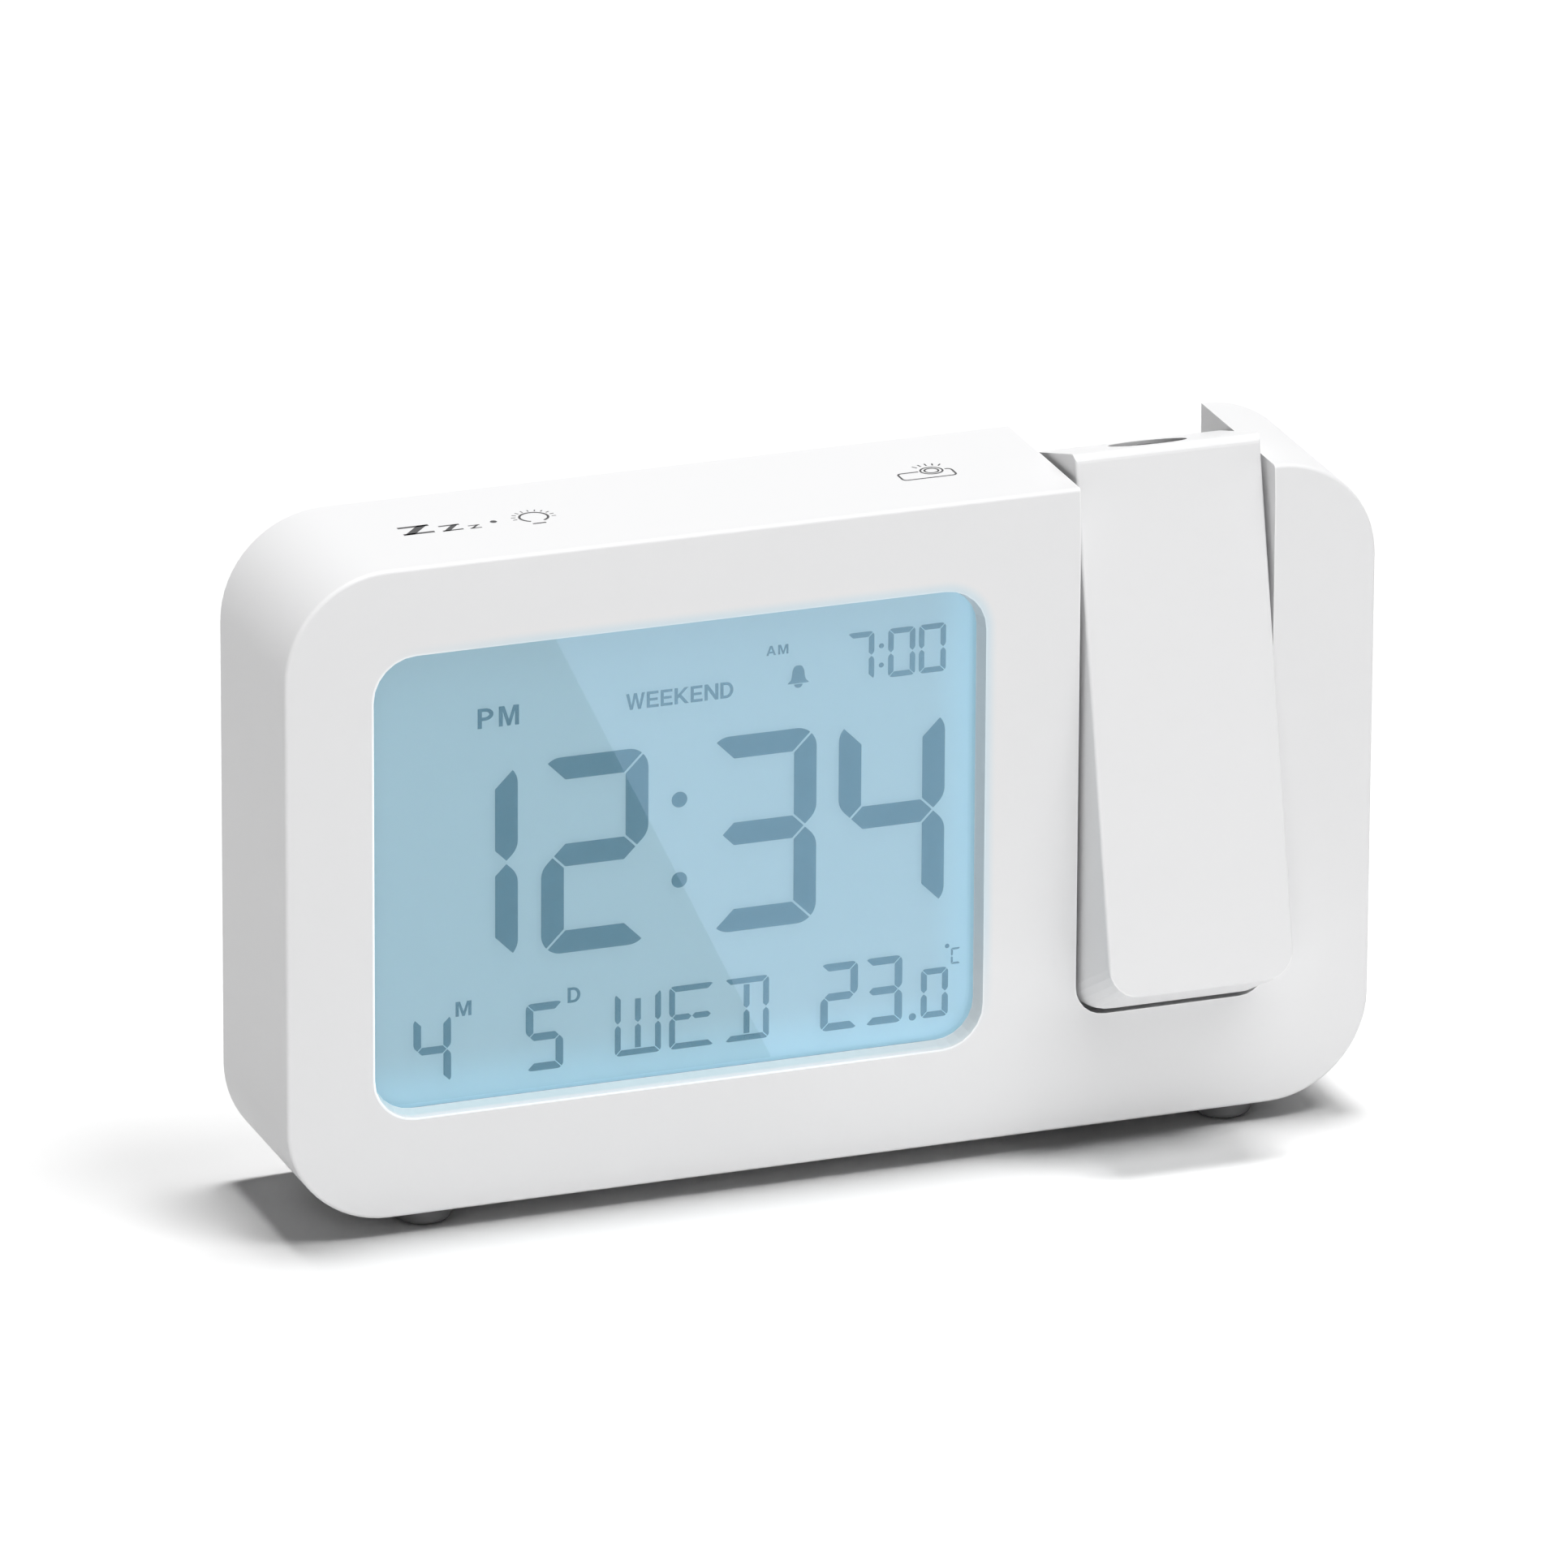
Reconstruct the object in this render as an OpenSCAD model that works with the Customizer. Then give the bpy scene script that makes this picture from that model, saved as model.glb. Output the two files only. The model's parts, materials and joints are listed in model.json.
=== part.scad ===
// Slim projection alarm clock.
// A white moulded body holds a wide liquid crystal display. A projector arm hinges in a bay at its
// right side: stowed it is flush with the front and the top, and swung out by a right angle its
// face is level with the top. +X is to the viewer's right, +Y goes back and +Z is up.

/* [Body] */
// Width of the body
body_w = 142; // [138:0.5:150]
// Height of the body without its feet
body_h = 84.2; // [82:0.1:88]
// Depth of the body
body_d = 25; // [25:0.1:26]
// Radius of the body's corners in front view
corner_r = 13.2; // [12:0.1:14]
// Fillet between the front and the sides
edge_r = 0.5; // [0.4:0.1:1.8]
// Width of the band over which the front falls away towards its edge
crown_w = 6.5; // [6:0.5:9]
// Depth by which that band falls away
crown_drop = 0.3; // [0.2:0.05:1]
// Wall thickness of the housing
wall = 2; // [1.8:0.1:2.2]

/* [Display] */
// Width of the display window
window_w = 79.3; // [76:0.1:80]
// Height of the display window
window_h = 60.1; // [58:0.1:61]
// Radius of the window's corners
window_r = 5.5; // [4:0.1:7]
// Distance from the body's left side to the window
window_left = 11.2; // [11:0.1:12]
// Distance from the body's underside to the window
window_bottom = 12.9; // [12.5:0.1:13.5]
// Depth of the display lens behind the front plane
window_recess = 2.35; // [2.2:0.05:2.5]

/* [Projector arm] */
// Width of the arm
arm_w = 24.4; // [24:0.1:25]
// Length of the arm's front face
arm_l = 68; // [66:0.1:69]
// Depth of the arm
arm_d = 14; // [13.8:0.1:14.2]
// Radius of the lower corners of the arm's face
arm_corner_r = 3.8; // [3:0.1:4.5]
// Angle at which the arm stands out at rest
arm_tilt = 12.3; // [0:0.1:45]
// Distance from the arm's face back to the hinge axis
pivot_back = 16.3; // [16:0.1:16.6]
// Distance from the top of the body down to the hinge axis
pivot_drop = 16.5; // [16:0.1:17]
// Clearance on each side of the arm
bay_gap = 0.6; // [0.5:0.1:0.8]
// Distance from the body's left side to the bay
bay_left = 102.8; // [102:0.1:103.5]

/* [Feet] */
// Radius of a foot
foot_r = 3.9; // [3.5:0.1:4.2]
// Height of a foot below the body
foot_h = 2.5; // [2:0.1:3]
// Distance between the left and the right feet
foot_span = 105.6; // [100:0.1:108]

/* [Keys and cells] */
// Number of set keys on the back
key_count = 6; // [6:1:6]
// Distance between two set keys
key_pitch = 11.5; // [11:0.1:12]
// Travel of a set key
key_travel = 0.6; // [0.4:0.1:0.6]
// Travel of the alarm switch
switch_travel = 3; // [2:0.5:3]
// Diameter of an AAA cell
cell_d = 10.5; // [10:0.1:10.5]
// Length of an AAA cell without its button
cell_l = 43.7; // [43:0.1:43.7]

/* [Hidden] */
$fn = 48;
eps = 0.01;

// Arcs drawn as straight steps in outlines
arc_steps = 6;
function arc(cx, cy, r, from, to, n = arc_steps) =
    [for (i = [0:n]) let (a = from + (to - from) * i / n) [cx + r * cos(a), cy + r * sin(a)]];

// Places across the body, measured from its middle
win_x = window_left + window_w / 2 - body_w / 2;
win_z = window_bottom + window_h / 2;
bay_w = arm_w + 2 * bay_gap;
bay_x = bay_left + bay_w / 2 - body_w / 2;

// Bay that the arm folds into
bay_wall = 1.8;
bay_floor = 14.9;
bay_slope = 10.5;
bay_corner_r = 3.9;
bay_back = 20.6;
bay_back_wall = 1.6;
bay_shelf = 62.5;
bay_shelf_h = 1.5;

// Hinge
pivot_z = body_h - pivot_drop;
tube_r = 2.5;
tube_bore_r = 1.8;
running = 0.05;
boss_out = 2.2;
hinge_boss_r = 4.6;
knuckle_r = 4.2;
tube_x0 = bay_x - bay_w / 2 - bay_wall - boss_out - 0.8;
tube_x1 = bay_x + bay_w / 2 + bay_wall + boss_out - 0.4;

// Arm, in its stowed place
arm_wall = 1.4;
arm_top = body_h;
arm_foot = body_h - arm_l;
arm_top_slope = 5;
arm_brow_r = 1.2;
arm_edge_r = 0.4;
arm_slope = 16;
arm_heel_r = 4;
arm_lid_gap = 0.1;
arm_top_fall = arm_d * tan(arm_top_slope);
optic_y = arm_d / 2;
optic_r = 5.3;
lead_x = 4.8;

// Forward reach of the lower edge of the arm, which sets the middle of the depth
toe_z = arm_foot + arm_edge_r * (1 - sin(arm_slope)) / cos(arm_slope);
arm_reach = arm_edge_r - pivot_back - (arm_edge_r - pivot_back) * cos(arm_tilt)
    - (toe_z - pivot_z) * sin(arm_tilt);
front_y = (arm_reach - body_d) / 2;

// Rear cover
cover_t = 2;
cover_y = body_d - cover_t;
cover_gap = 0.15;

// Case screws: x and z of each
screw_r = 1.25;
screw_head_r = 2.1;
screw_head_h = 1.6;
screw_l = 10;
boss_r = 2.9;
boss_end = body_d - 4.5;
side_boss_x = body_w / 2 - 7.2;
mid_boss_x = bay_x - bay_w / 2 - bay_wall - 4;
low_boss_z = 7;
case_bosses = [
    [-side_boss_x, low_boss_z],
    [-side_boss_x, body_h - low_boss_z],
    [side_boss_x, low_boss_z],
    [side_boss_x, body_h - low_boss_z],
    [mid_boss_x, body_h - 5.6],
    [mid_boss_x, 5.6],
];

// Display stack, front to back
lens_t = 1;
lcd_w = window_w + 3.4;
lcd_h = window_h + 3.4;
lcd_y = window_recess + lens_t + 0.1;
lcd_t = 2;
diffuser_y = lcd_y + lcd_t + 0.05;
diffuser_t = 0.25;
guide_y = diffuser_y + diffuser_t + 0.05;
guide_t = 2.5;
frame_wall = 1;
frame_back = guide_y + guide_t + 0.5;

// Boards
board_y = 9;
board_t = 1;
board_x0 = 3 - body_w / 2;
board_x1 = mid_boss_x + 2.5;
board_z0 = 8;
board_z1 = body_h - 6.2;
post_r = 2.2;
board_posts = [for (x = [5 - body_w / 2, mid_boss_x], z = [24, 60]) [x, z]];
board_screw_r = 0.9;

// Battery bay in the rear cover
cell_y = 17.35;
cell_pitch = cell_d + 0.8;
tub_wall = 1.2;
tub_x0 = 9 - body_w / 2;
tub_l = 51;
tub_z0 = 12;
tub_h = 2 * cell_pitch + 0.9;
tub_floor = 10.8;
tub_inner_floor = 11.9;
cell_x0 = tub_x0 + 4.6;
door_t = 1.8;
door_y = body_d - door_t;
door_gap = 0.25;
door_ledge = 1.5;
door_tab_w = 7;
door_tab_l = 1.5;
door_tab_t = 0.8;
door_w = tub_l + 2 * tub_wall;
door_h = tub_h + 2 * tub_wall;
door_x0 = tub_x0 - tub_wall;
door_z0 = tub_z0 - tub_wall;
door_tabs = [door_x0 + 9, door_x0 + door_w - 9 - door_tab_w];

// Set keys on the back
key_x0 = -58;
key_z = 66;
key_w = 8;
key_h = 4.6;
key_r = 2.2;
key_gap = 0.25;
well_depth = 1;
well_floor = body_d - well_depth;
well_back = well_floor - 1.4;
key_face = body_d - 0.15;
key_flange = 0.8;
key_end = well_back - 0.1 - key_flange - 0.8;
switch_top = key_end - key_travel - 0.1;
key_board_y = 16.4;
switch_x = 14.5;
switch_w = 4;
switch_h = 3.2;

// Speaker, power inlet and vents
speaker_x = 10;
speaker_z = 25;
speaker_r = 10;
speaker_y = 18.2;
jack_x = 16.5;
jack_z = 8.6;
jack_w = 6.4;
jack_h = 5.2;
jack_r = 1.85;

// ---- Helpers ----

// Stands the clock on its feet, with the middle of its depth at y = 0
module placed() {
    translate([0, front_y, foot_h]) children();
}

// Turns a piece of the arm from its stowed place to its rest angle
module on_arm() {
    placed()
        translate([0, pivot_back, pivot_z])
        rotate([-arm_tilt, 0, 0])
        translate([0, -pivot_back, -pivot_z])
        children();
}

// Extrudes a front view outline, x and z, from depth y0 to y1
module along_y(y0, y1) {
    translate([0, y1, 0]) rotate([90, 0, 0]) linear_extrude(y1 - y0) children();
}

// Extrudes a side view outline, y and z, from x0 to x1
module along_x(x0, x1) {
    translate([x0, 0, 0]) rotate([90, 0, 90]) linear_extrude(x1 - x0) children();
}

// Extrudes a plan outline, x and y, from z0 to z1
module along_z(z0, z1) {
    translate([0, 0, z0]) linear_extrude(z1 - z0) children();
}

// Cylinders along X, Y and Z
module rod_x(x0, x1, r) {
    translate([x0, 0, 0]) rotate([0, 90, 0]) cylinder(r = r, h = x1 - x0);
}
module rod_y(y0, y1, r) {
    translate([0, y0, 0]) rotate([-90, 0, 0]) cylinder(r = r, h = y1 - y0);
}
module rod_z(z0, z1, r) {
    translate([0, 0, z0]) cylinder(r = r, h = z1 - z0);
}

// A box from its two corners
module box(low, high) {
    translate(low) cube(high - low);
}

// A rectangle with round corners, centred
module rounded_rect(w, h, r) {
    polygon(concat(
        arc(w / 2 - r, h / 2 - r, r, 0, 90),
        arc(r - w / 2, h / 2 - r, r, 90, 180),
        arc(r - w / 2, r - h / 2, r, 180, 270),
        arc(w / 2 - r, r - h / 2, r, 270, 360)));
}

// A slot outline, centred, whose ends are half circles
module slot_outline(w, h) {
    square([w - h, h], center = true);
    for (side = [-1, 1]) translate([side * (w - h) / 2, 0]) circle(r = h / 2);
}

// Sweeps an edge section round a rectangle with round corners, standing on z = 0.
// In the section x is the distance out from the corner's centre and y is the depth.
module edge_sweep(w, h, r) {
    starts = [
        [w / 2 - r, r, h - 2 * r],
        [r - w / 2, r, w - 2 * r],
        [r - w / 2, h - r, h - 2 * r],
        [w / 2 - r, h - r, w - 2 * r],
    ];
    for (k = [0:3]) {
        translate([starts[k][0], 0, starts[k][1]])
            rotate([0, 90 * k, 0])
            linear_extrude(starts[k][2]) children();
        translate([starts[k][0], 0, starts[k][1]])
            rotate([0, 90 * k, 0])
            rotate([-90, 0, 0])
            rotate_extrude(angle = 90) children();
    }
}

// Skin of a tube with a ring of points round each station of its route
module skin(rings, sides, pts) {
    walls = [for (i = [0:rings - 2], j = [0:sides - 1])
        let (k = (j + 1) % sides)
        [i * sides + j, i * sides + k, (i + 1) * sides + k, (i + 1) * sides + j]];
    polyhedron(pts, concat(walls,
        [[for (j = [sides - 1:-1:0]) j], [for (j = [0:sides - 1]) (rings - 1) * sides + j]]));
}

// A lead along a route that never runs parallel to Y
module lead(route, r, sides = 8) {
    last = len(route) - 1;
    pts = [for (i = [0:last])
        let (d = route[min(i + 1, last)] - route[max(i - 1, 0)],
             across = cross([0, 1, 0], d), u = across / norm(across),
             up = cross(d, u), v = up / norm(up))
        for (j = [0:sides - 1])
            let (a = 360 * j / sides) route[i] + r * (cos(a) * v + sin(a) * u)];
    skin(last + 1, sides, pts);
}

// ---- Housing ----

// Outline of the body's edge: the crowned front, the fillet and the straight side
crown_r = (crown_w * crown_w + crown_drop * crown_drop) / (2 * crown_drop);
crown_x = corner_r - edge_r - crown_w;
crown_a = asin(crown_w / crown_r);
function front_edge() = concat(
    [for (i = [1:arc_steps]) let (a = crown_a * i / arc_steps)
        [crown_x + crown_r * sin(a), crown_r - crown_r * cos(a)]],
    [for (i = [1:arc_steps]) let (a = crown_a + (90 - crown_a) * i / arc_steps)
        [corner_r - edge_r + edge_r * (sin(a) - sin(crown_a)) / (1 - sin(crown_a)),
         crown_drop + edge_r * (cos(crown_a) - cos(a))]]);

module solid_edge() {
    polygon(concat([[0, 0], [crown_x, 0]], front_edge(), [[corner_r, body_d], [0, body_d]]));
}

module wall_edge() {
    polygon(concat(
        [[0, 0], [crown_x, 0]], front_edge(),
        [[corner_r, body_d], [corner_r - wall, body_d], [corner_r - wall, window_recess],
         [0, window_recess]]));
}

// The body as one full form
module body_form() {
    edge_sweep(body_w, body_h, corner_r) solid_edge();
    box([corner_r - body_w / 2, 0, corner_r],
        [body_w / 2 - corner_r, body_d, body_h - corner_r]);
}

// Outline of an upright slot, open at its top, with round lower corners
module u_outline(w, r, h) {
    polygon(concat(
        [[w / 2, h], [-w / 2, h]],
        arc(r - w / 2, r, r, 180, 270),
        arc(w / 2 - r, r, r, 270, 360)));
}

// That slot run back from the front on a falling slope
module sloping_slot(w, r, z, slope) {
    translate([bay_x, 0, z]) rotate([-slope, 0, 0]) along_y(-60, 60) u_outline(w, r, 2 * body_h);
}

// The bay, grown by its wall or as clear space
module bay(grow, low_back, high_back, shelf) {
    half = bay_w / 2 + grow;
    intersection() {
        sloping_slot(2 * half, bay_corner_r + grow, bay_floor - grow, bay_slope);
        box([bay_x - half, -1, 0], [bay_x + half, low_back, body_h + 1]);
    }
    box([bay_x - half, -1, shelf], [bay_x + half, high_back, body_h + 1]);
}

module at_bosses() {
    for (p = case_bosses) translate([p[0], 0, p[1]]) children();
}

module at_feet() {
    for (x = [-1, 1] * foot_span / 2, y = [5.6, body_d - 5.6])
        translate([x + 1, y, 0]) children();
}

module window_cut() {
    taper = 0.45;
    hull() {
        translate([win_x, 0, win_z]) along_y(-1, 0.1) rounded_rect(window_w, window_h, window_r);
        translate([win_x, 0, win_z])
            along_y(window_recess, window_recess + 0.1)
            rounded_rect(window_w - 2 * taper, window_h - 2 * taper, window_r - taper);
    }
}

// The front, the sides and the bay in one moulding, open at the back
module front_case() {
    vent_w = 9;
    rib_t = 1;
    color("white") placed() difference() {
        union() {
            edge_sweep(body_w, body_h, corner_r) wall_edge();
            box([corner_r - body_w / 2, 0, corner_r],
                [body_w / 2 - corner_r, window_recess, body_h - corner_r]);
            intersection() {
                body_form();
                union() {
                    bay(bay_wall, bay_back + bay_back_wall, body_d, bay_shelf - bay_shelf_h);
                    at_bosses() rod_y(1, boss_end, boss_r);
                    for (p = board_posts) translate([p[0], 0, p[1]]) rod_y(1, board_y, post_r);
                }
            }
            // Round bearings of the hinge, outside the bay's two side walls
            translate([0, pivot_back, pivot_z]) {
                rod_x(bay_x - bay_w / 2 - bay_wall - boss_out, bay_x - bay_w / 2, hinge_boss_r);
                rod_x(bay_x + bay_w / 2, bay_x + bay_w / 2 + bay_wall + boss_out, hinge_boss_r);
            }
            // Ribs along the inside of the top and of the underside
            for (x = [-45, -20, 5]) {
                box([x, window_recess - 0.5, body_h - wall - 2.2],
                    [x + rib_t, board_y - 0.5, body_h - 1]);
                box([x, window_recess - 0.5, 1], [x + rib_t, board_y - 0.5, wall + 2.2]);
            }
        }
        bay(0, bay_back, body_d + 1, bay_shelf);
        window_cut();
        at_bosses() rod_y(boss_end - screw_l + 1, boss_end + 1, screw_r);
        for (p = board_posts)
            translate([p[0], 0, p[1]]) rod_y(board_y - 5, board_y + 1, board_screw_r);
        translate([0, pivot_back, pivot_z])
            rod_x(bay_x - bay_w, bay_x + bay_w, tube_r + running);
        at_feet() rod_z(-1, 0.8, foot_r + 0.05);
        // Air slots in the underside, below the temperature sensor
        for (i = [0:3])
            translate([-24 + 13 * i - vent_w, body_d / 2, 0])
            along_z(-1, wall + 1) slot_outline(vent_w, 1.4);
    }
}

// ---- Rear cover and its battery bay ----

module cover_outline(grow) {
    inset = wall + cover_gap;
    notch = bay_w / 2 + bay_wall + cover_gap;
    notch_z = bay_shelf - bay_shelf_h - cover_gap;
    difference() {
        translate([0, body_h / 2])
            rounded_rect(body_w - 2 * inset, body_h - 2 * inset, corner_r - inset);
        translate([bay_x - notch - grow, notch_z - grow])
            square([2 * (notch + grow), body_h]);
    }
}

module key_outline(grow) {
    rounded_rect(key_w + 2 * grow, key_h + 2 * grow, key_r + grow);
}

function key_x(i) = key_x0 + key_pitch * i;

module at_keys() {
    for (i = [0:key_count - 1]) translate([key_x(i), 0, key_z]) children();
}

module speaker_slots() {
    for (i = [-3:3]) {
        z = 2.6 * i;
        translate([speaker_x, 0, speaker_z + z])
            along_y(cover_y - 1, body_d + 1)
            slot_outline(2 * sqrt(pow(speaker_r - 1, 2) - z * z), 1.3);
    }
}

module rear_cover() {
    well_x = key_x0 + key_pitch * (key_count - 1) / 2;
    well_w = key_pitch * (key_count - 1) + key_w + 6;
    knob_slot = switch_travel + switch_w + 0.6;
    color("white") placed() difference() {
        union() {
            along_y(cover_y, body_d) cover_outline(0);
            // Walls, floor and rim of the battery bay
            box([tub_x0 - tub_wall, tub_floor, tub_z0 - tub_wall],
                [tub_x0 + tub_l + tub_wall, cover_y + 0.1, tub_z0 + tub_h + tub_wall]);
            box([door_x0 - door_ledge, door_y - 1.3, door_z0 - door_ledge],
                [door_x0 + door_w + door_ledge, cover_y + 0.1, door_z0 + door_h + door_ledge]);
            // Thicker panel behind the sunk key well
            translate([well_x, 0, key_z])
                along_y(well_back, cover_y + 0.1) rounded_rect(well_w + 3, key_h + 7, 3.5);
            translate([switch_x, 0, key_z])
                along_y(well_back, cover_y + 0.1) rounded_rect(knob_slot + 5, 9, 2);
            // Sleeves that seat on the bosses of the front case
            intersection() {
                at_bosses() rod_y(boss_end + 0.1, cover_y + 0.1, boss_r);
                along_y(boss_end, body_d) cover_outline(0);
            }
            translate([speaker_x, 0, speaker_z]) rod_y(speaker_y + 1, cover_y + 0.1, speaker_r + 1.2);
            translate([jack_x, 0, jack_z]) rod_y(cover_y - 0.4, cover_y + 0.1, 4);
        }
        box([tub_x0, tub_inner_floor, tub_z0], [tub_x0 + tub_l, body_d + 1, tub_z0 + tub_h]);
        box([door_x0 - door_gap, door_y - 0.1, door_z0 - door_gap],
            [door_x0 + door_w + door_gap, body_d + 1, door_z0 + door_h + door_gap]);
        for (x = door_tabs) {
            box([x - 0.3, door_y - 1.4, door_z0 - door_tab_l - 0.3],
                [x + door_tab_w + 0.3, door_y + door_tab_t + 0.1, door_z0]);
            // Room for the tab as the door swings
            box([x - 0.3, door_y - 1.4, door_z0 - 0.1], [x + door_tab_w + 0.3, door_y, tub_z0 + 0.1]);
        }
        // Finger notch above the battery door
        translate([door_x0 + door_w / 2, body_d + 1.6, door_z0 + door_h])
            rod_z(-1, 3.4, 3);
        translate([well_x, 0, key_z])
            along_y(well_floor, body_d + 1) rounded_rect(well_w, key_h + 4, 3);
        at_keys() along_y(well_back - 1, body_d) key_outline(key_gap);
        translate([switch_x, 0, key_z]) {
            along_y(well_floor, body_d + 1) rounded_rect(knob_slot + 2.4, 6.4, 1.4);
            along_y(well_back - 1, body_d) square([knob_slot, switch_h + 0.5], center = true);
        }
        at_bosses() {
            rod_y(boss_end, body_d + 1, screw_r + 0.2);
            rod_y(body_d - 2.2, body_d + 1, screw_head_r + 0.3);
        }
        translate([speaker_x, 0, speaker_z]) rod_y(speaker_y, cover_y, speaker_r + 0.1);
        speaker_slots();
        translate([jack_x, 0, jack_z]) rod_y(cover_y - 1, body_d + 1, jack_r + 1);
    }
}

// Lift-out door with two tabs at its lower edge
module battery_door() {
    ridge_w = 14;
    color("white") placed() difference() {
        union() {
            box([door_x0, door_y, door_z0], [door_x0 + door_w, body_d, door_z0 + door_h]);
            for (x = door_tabs)
                box([x, door_y, door_z0 - door_tab_l],
                    [x + door_tab_w, door_y + door_tab_t, door_z0 + 0.1]);
        }
        // Grip lines below the finger notch
        for (i = [1:4])
            translate([door_x0 + door_w / 2 - ridge_w / 2, body_d + 0.2, door_z0 + door_h - 2 * i])
            rod_x(0, ridge_w, 0.6);
    }
}

module battery_cells() {
    color("dimgray") placed() for (i = [0, 1])
        translate([0, cell_y, tub_z0 + 0.45 + cell_pitch * (i + 0.5)]) {
            rod_x(cell_x0, cell_x0 + cell_l, cell_d / 2);
            rod_x(cell_x0 + cell_l - eps, cell_x0 + cell_l + 0.8, 1.9);
        }
}

// Points round a coil, tapering from r0 to r1
function coil_point(t, turns, r0, r1, pitch) =
    let (a = 360 * t * turns, r = r0 + (r1 - r0) * t)
    [pitch * turns * t, r * cos(a), r * sin(a)];

module coil(turns, r0, r1, pitch, wire_r) {
    rings = 14 * turns;
    sides = 8;
    pts = [for (i = [0:rings], j = [0:sides - 1])
        let (t = i / rings, a = 360 * turns * t, b = 360 * j / sides,
             c = coil_point(t, turns, r0, r1, pitch))
        c + wire_r * [sin(b), cos(b) * cos(a), cos(b) * sin(a)]];
    skin(rings + 1, sides, pts);
}

// Conical springs at the flat ends of the cells
module battery_springs() {
    wire_r = 0.35;
    color("silver") placed() for (i = [0, 1])
        translate([tub_x0 + 1.1, cell_y, tub_z0 + 0.45 + cell_pitch * (i + 0.5)])
        coil(3, 3.6, 2, 1, wire_r);
}

// Sprung plates behind the coils, and one plate across the two buttons
module battery_contacts() {
    plate_t = 0.4;
    color("silver") placed() {
        for (i = [0, 1]) {
            z = tub_z0 + 0.45 + cell_pitch * (i + 0.5);
            box([tub_x0 + 0.1, cell_y - 4.6, z - 4.6], [tub_x0 + 0.1 + plate_t, cell_y + 4.6, z + 4.6]);
            box([tub_x0 + tub_l - 0.1 - plate_t, cell_y - 4.6, z - 4.6],
                [tub_x0 + tub_l - 0.1, cell_y + 4.6, z + 4.6]);
        }
    }
}

module case_screws() {
    color("silver") placed() at_bosses() difference() {
        union() {
            rod_y(boss_end - screw_l + 1.2, body_d - 2.1, screw_r);
            rod_y(body_d - 2.2, body_d - 2.2 + screw_head_h, screw_head_r);
        }
        // Cross recess in the head
        for (a = [0, 90])
            rotate([0, a, 0])
            box([-0.3, body_d - 1.6, -1.3], [0.3, body_d, 1.3]);
    }
}

// ---- Display ----

module display_panel(w, h, y, t, r) {
    translate([win_x, 0, win_z]) along_y(y, y + t) rounded_rect(w, h, r);
}

module display_lens() {
    color("lightcyan", 0.4) placed()
        display_panel(lcd_w - 0.6, lcd_h - 0.6, window_recess + 0.02, lens_t, 2);
}

module lcd_glass() {
    color("lightsteelblue") placed() {
        display_panel(lcd_w, lcd_h - 3, lcd_y + lcd_t / 2, lcd_t / 2, 0.5);
        translate([win_x, 0, win_z])
            along_y(lcd_y, lcd_y + lcd_t / 2 + eps) square([lcd_w, lcd_h], center = true);
    }
}

module diffuser_sheet() {
    color("white") placed() display_panel(lcd_w - 1, lcd_h - 4, diffuser_y, diffuser_t, 0.5);
}

// Edge lit guide with pockets for the lamps in its left edge
module light_guide() {
    color("aliceblue") placed() difference() {
        display_panel(lcd_w - 1, lcd_h - 4, guide_y, guide_t, 0.5);
        for (i = [-1:1])
            translate([win_x - lcd_w / 2 + 0.5, 0, win_z + 18 * i])
            box([-1, guide_y - 1, -1.9], [1.9, guide_y + guide_t + 1, 1.9]);
    }
}

module backlight_leds() {
    color("lightyellow") placed() for (i = [-1:1])
        translate([win_x - lcd_w / 2 + 0.6, 0, win_z + 18 * i])
        box([0, guide_y + 0.3, -1.7], [1.6, guide_y + guide_t - 0.3, 1.7]);
}

// Tray that holds the glass, the diffuser and the light guide together
module lcd_frame() {
    w = lcd_w + 2 * frame_wall + 0.3;
    h = lcd_h + 2 * frame_wall + 0.3;
    color("white") placed() difference() {
        display_panel(w, h, lcd_y, frame_back - lcd_y, 1.2);
        translate([win_x, 0, win_z]) {
            along_y(lcd_y - 1, guide_y + guide_t + 0.05)
                square([lcd_w + 0.3, lcd_h + 0.3], center = true);
            along_y(lcd_y, frame_back + 1) square([lcd_w - 8, lcd_h - 12], center = true);
        }
        at_bosses() rod_y(0, frame_back + 1, boss_r + 0.3);
        // Slot through which the elastomer strip meets the main board
        translate([win_x, 0, win_z - lcd_h / 2])
            box([-31, lcd_y, 0.2], [31, frame_back + 1, 2]);
    }
}

// Conductive rubber strip between the glass and the main board
module elastomer_strip() {
    color("black") placed()
        translate([win_x, 0, win_z - lcd_h / 2])
        box([-30, lcd_y + lcd_t / 2 + 0.05, 0.35], [30, board_y, 1.45]);
}

// ---- Boards and what they carry ----

module main_board() {
    color("darkgreen") placed() difference() {
        box([board_x0, board_y, board_z0], [board_x1, board_y + board_t, board_z1]);
        at_bosses() box([-4.4, board_y - 1, -4.4], [4.4, board_y + 3, 4.4]);
        for (p = board_posts)
            translate([p[0], 0, p[1]]) rod_y(board_y - 1, board_y + 3, board_screw_r + 0.15);
    }
}

module controller_chip() {
    legs = 12;
    color("black") placed() translate([-22, board_y + board_t, 50]) {
        box([-6, 0.2, -6], [6, 1.9, 6]);
        for (i = [0:legs - 1], side = [-1, 1])
            translate([side * 6.6, 0, -5 + 10 * i / (legs - 1)])
            box([-0.8, 0.02, -0.2], [0.8, 0.4, 0.2]);
    }
}

// Sockets for the projector lead and for the speaker
module board_connectors() {
    color("ivory") placed() for (z = [42, 52])
        translate([20, board_y + board_t + 0.02, z]) difference() {
            box([-3.5, 0, -2.5], [3.5, 4.6, 2.5]);
            box([-2.7, 1, -1.7], [2.7, 5, 1.7]);
        }
}

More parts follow.
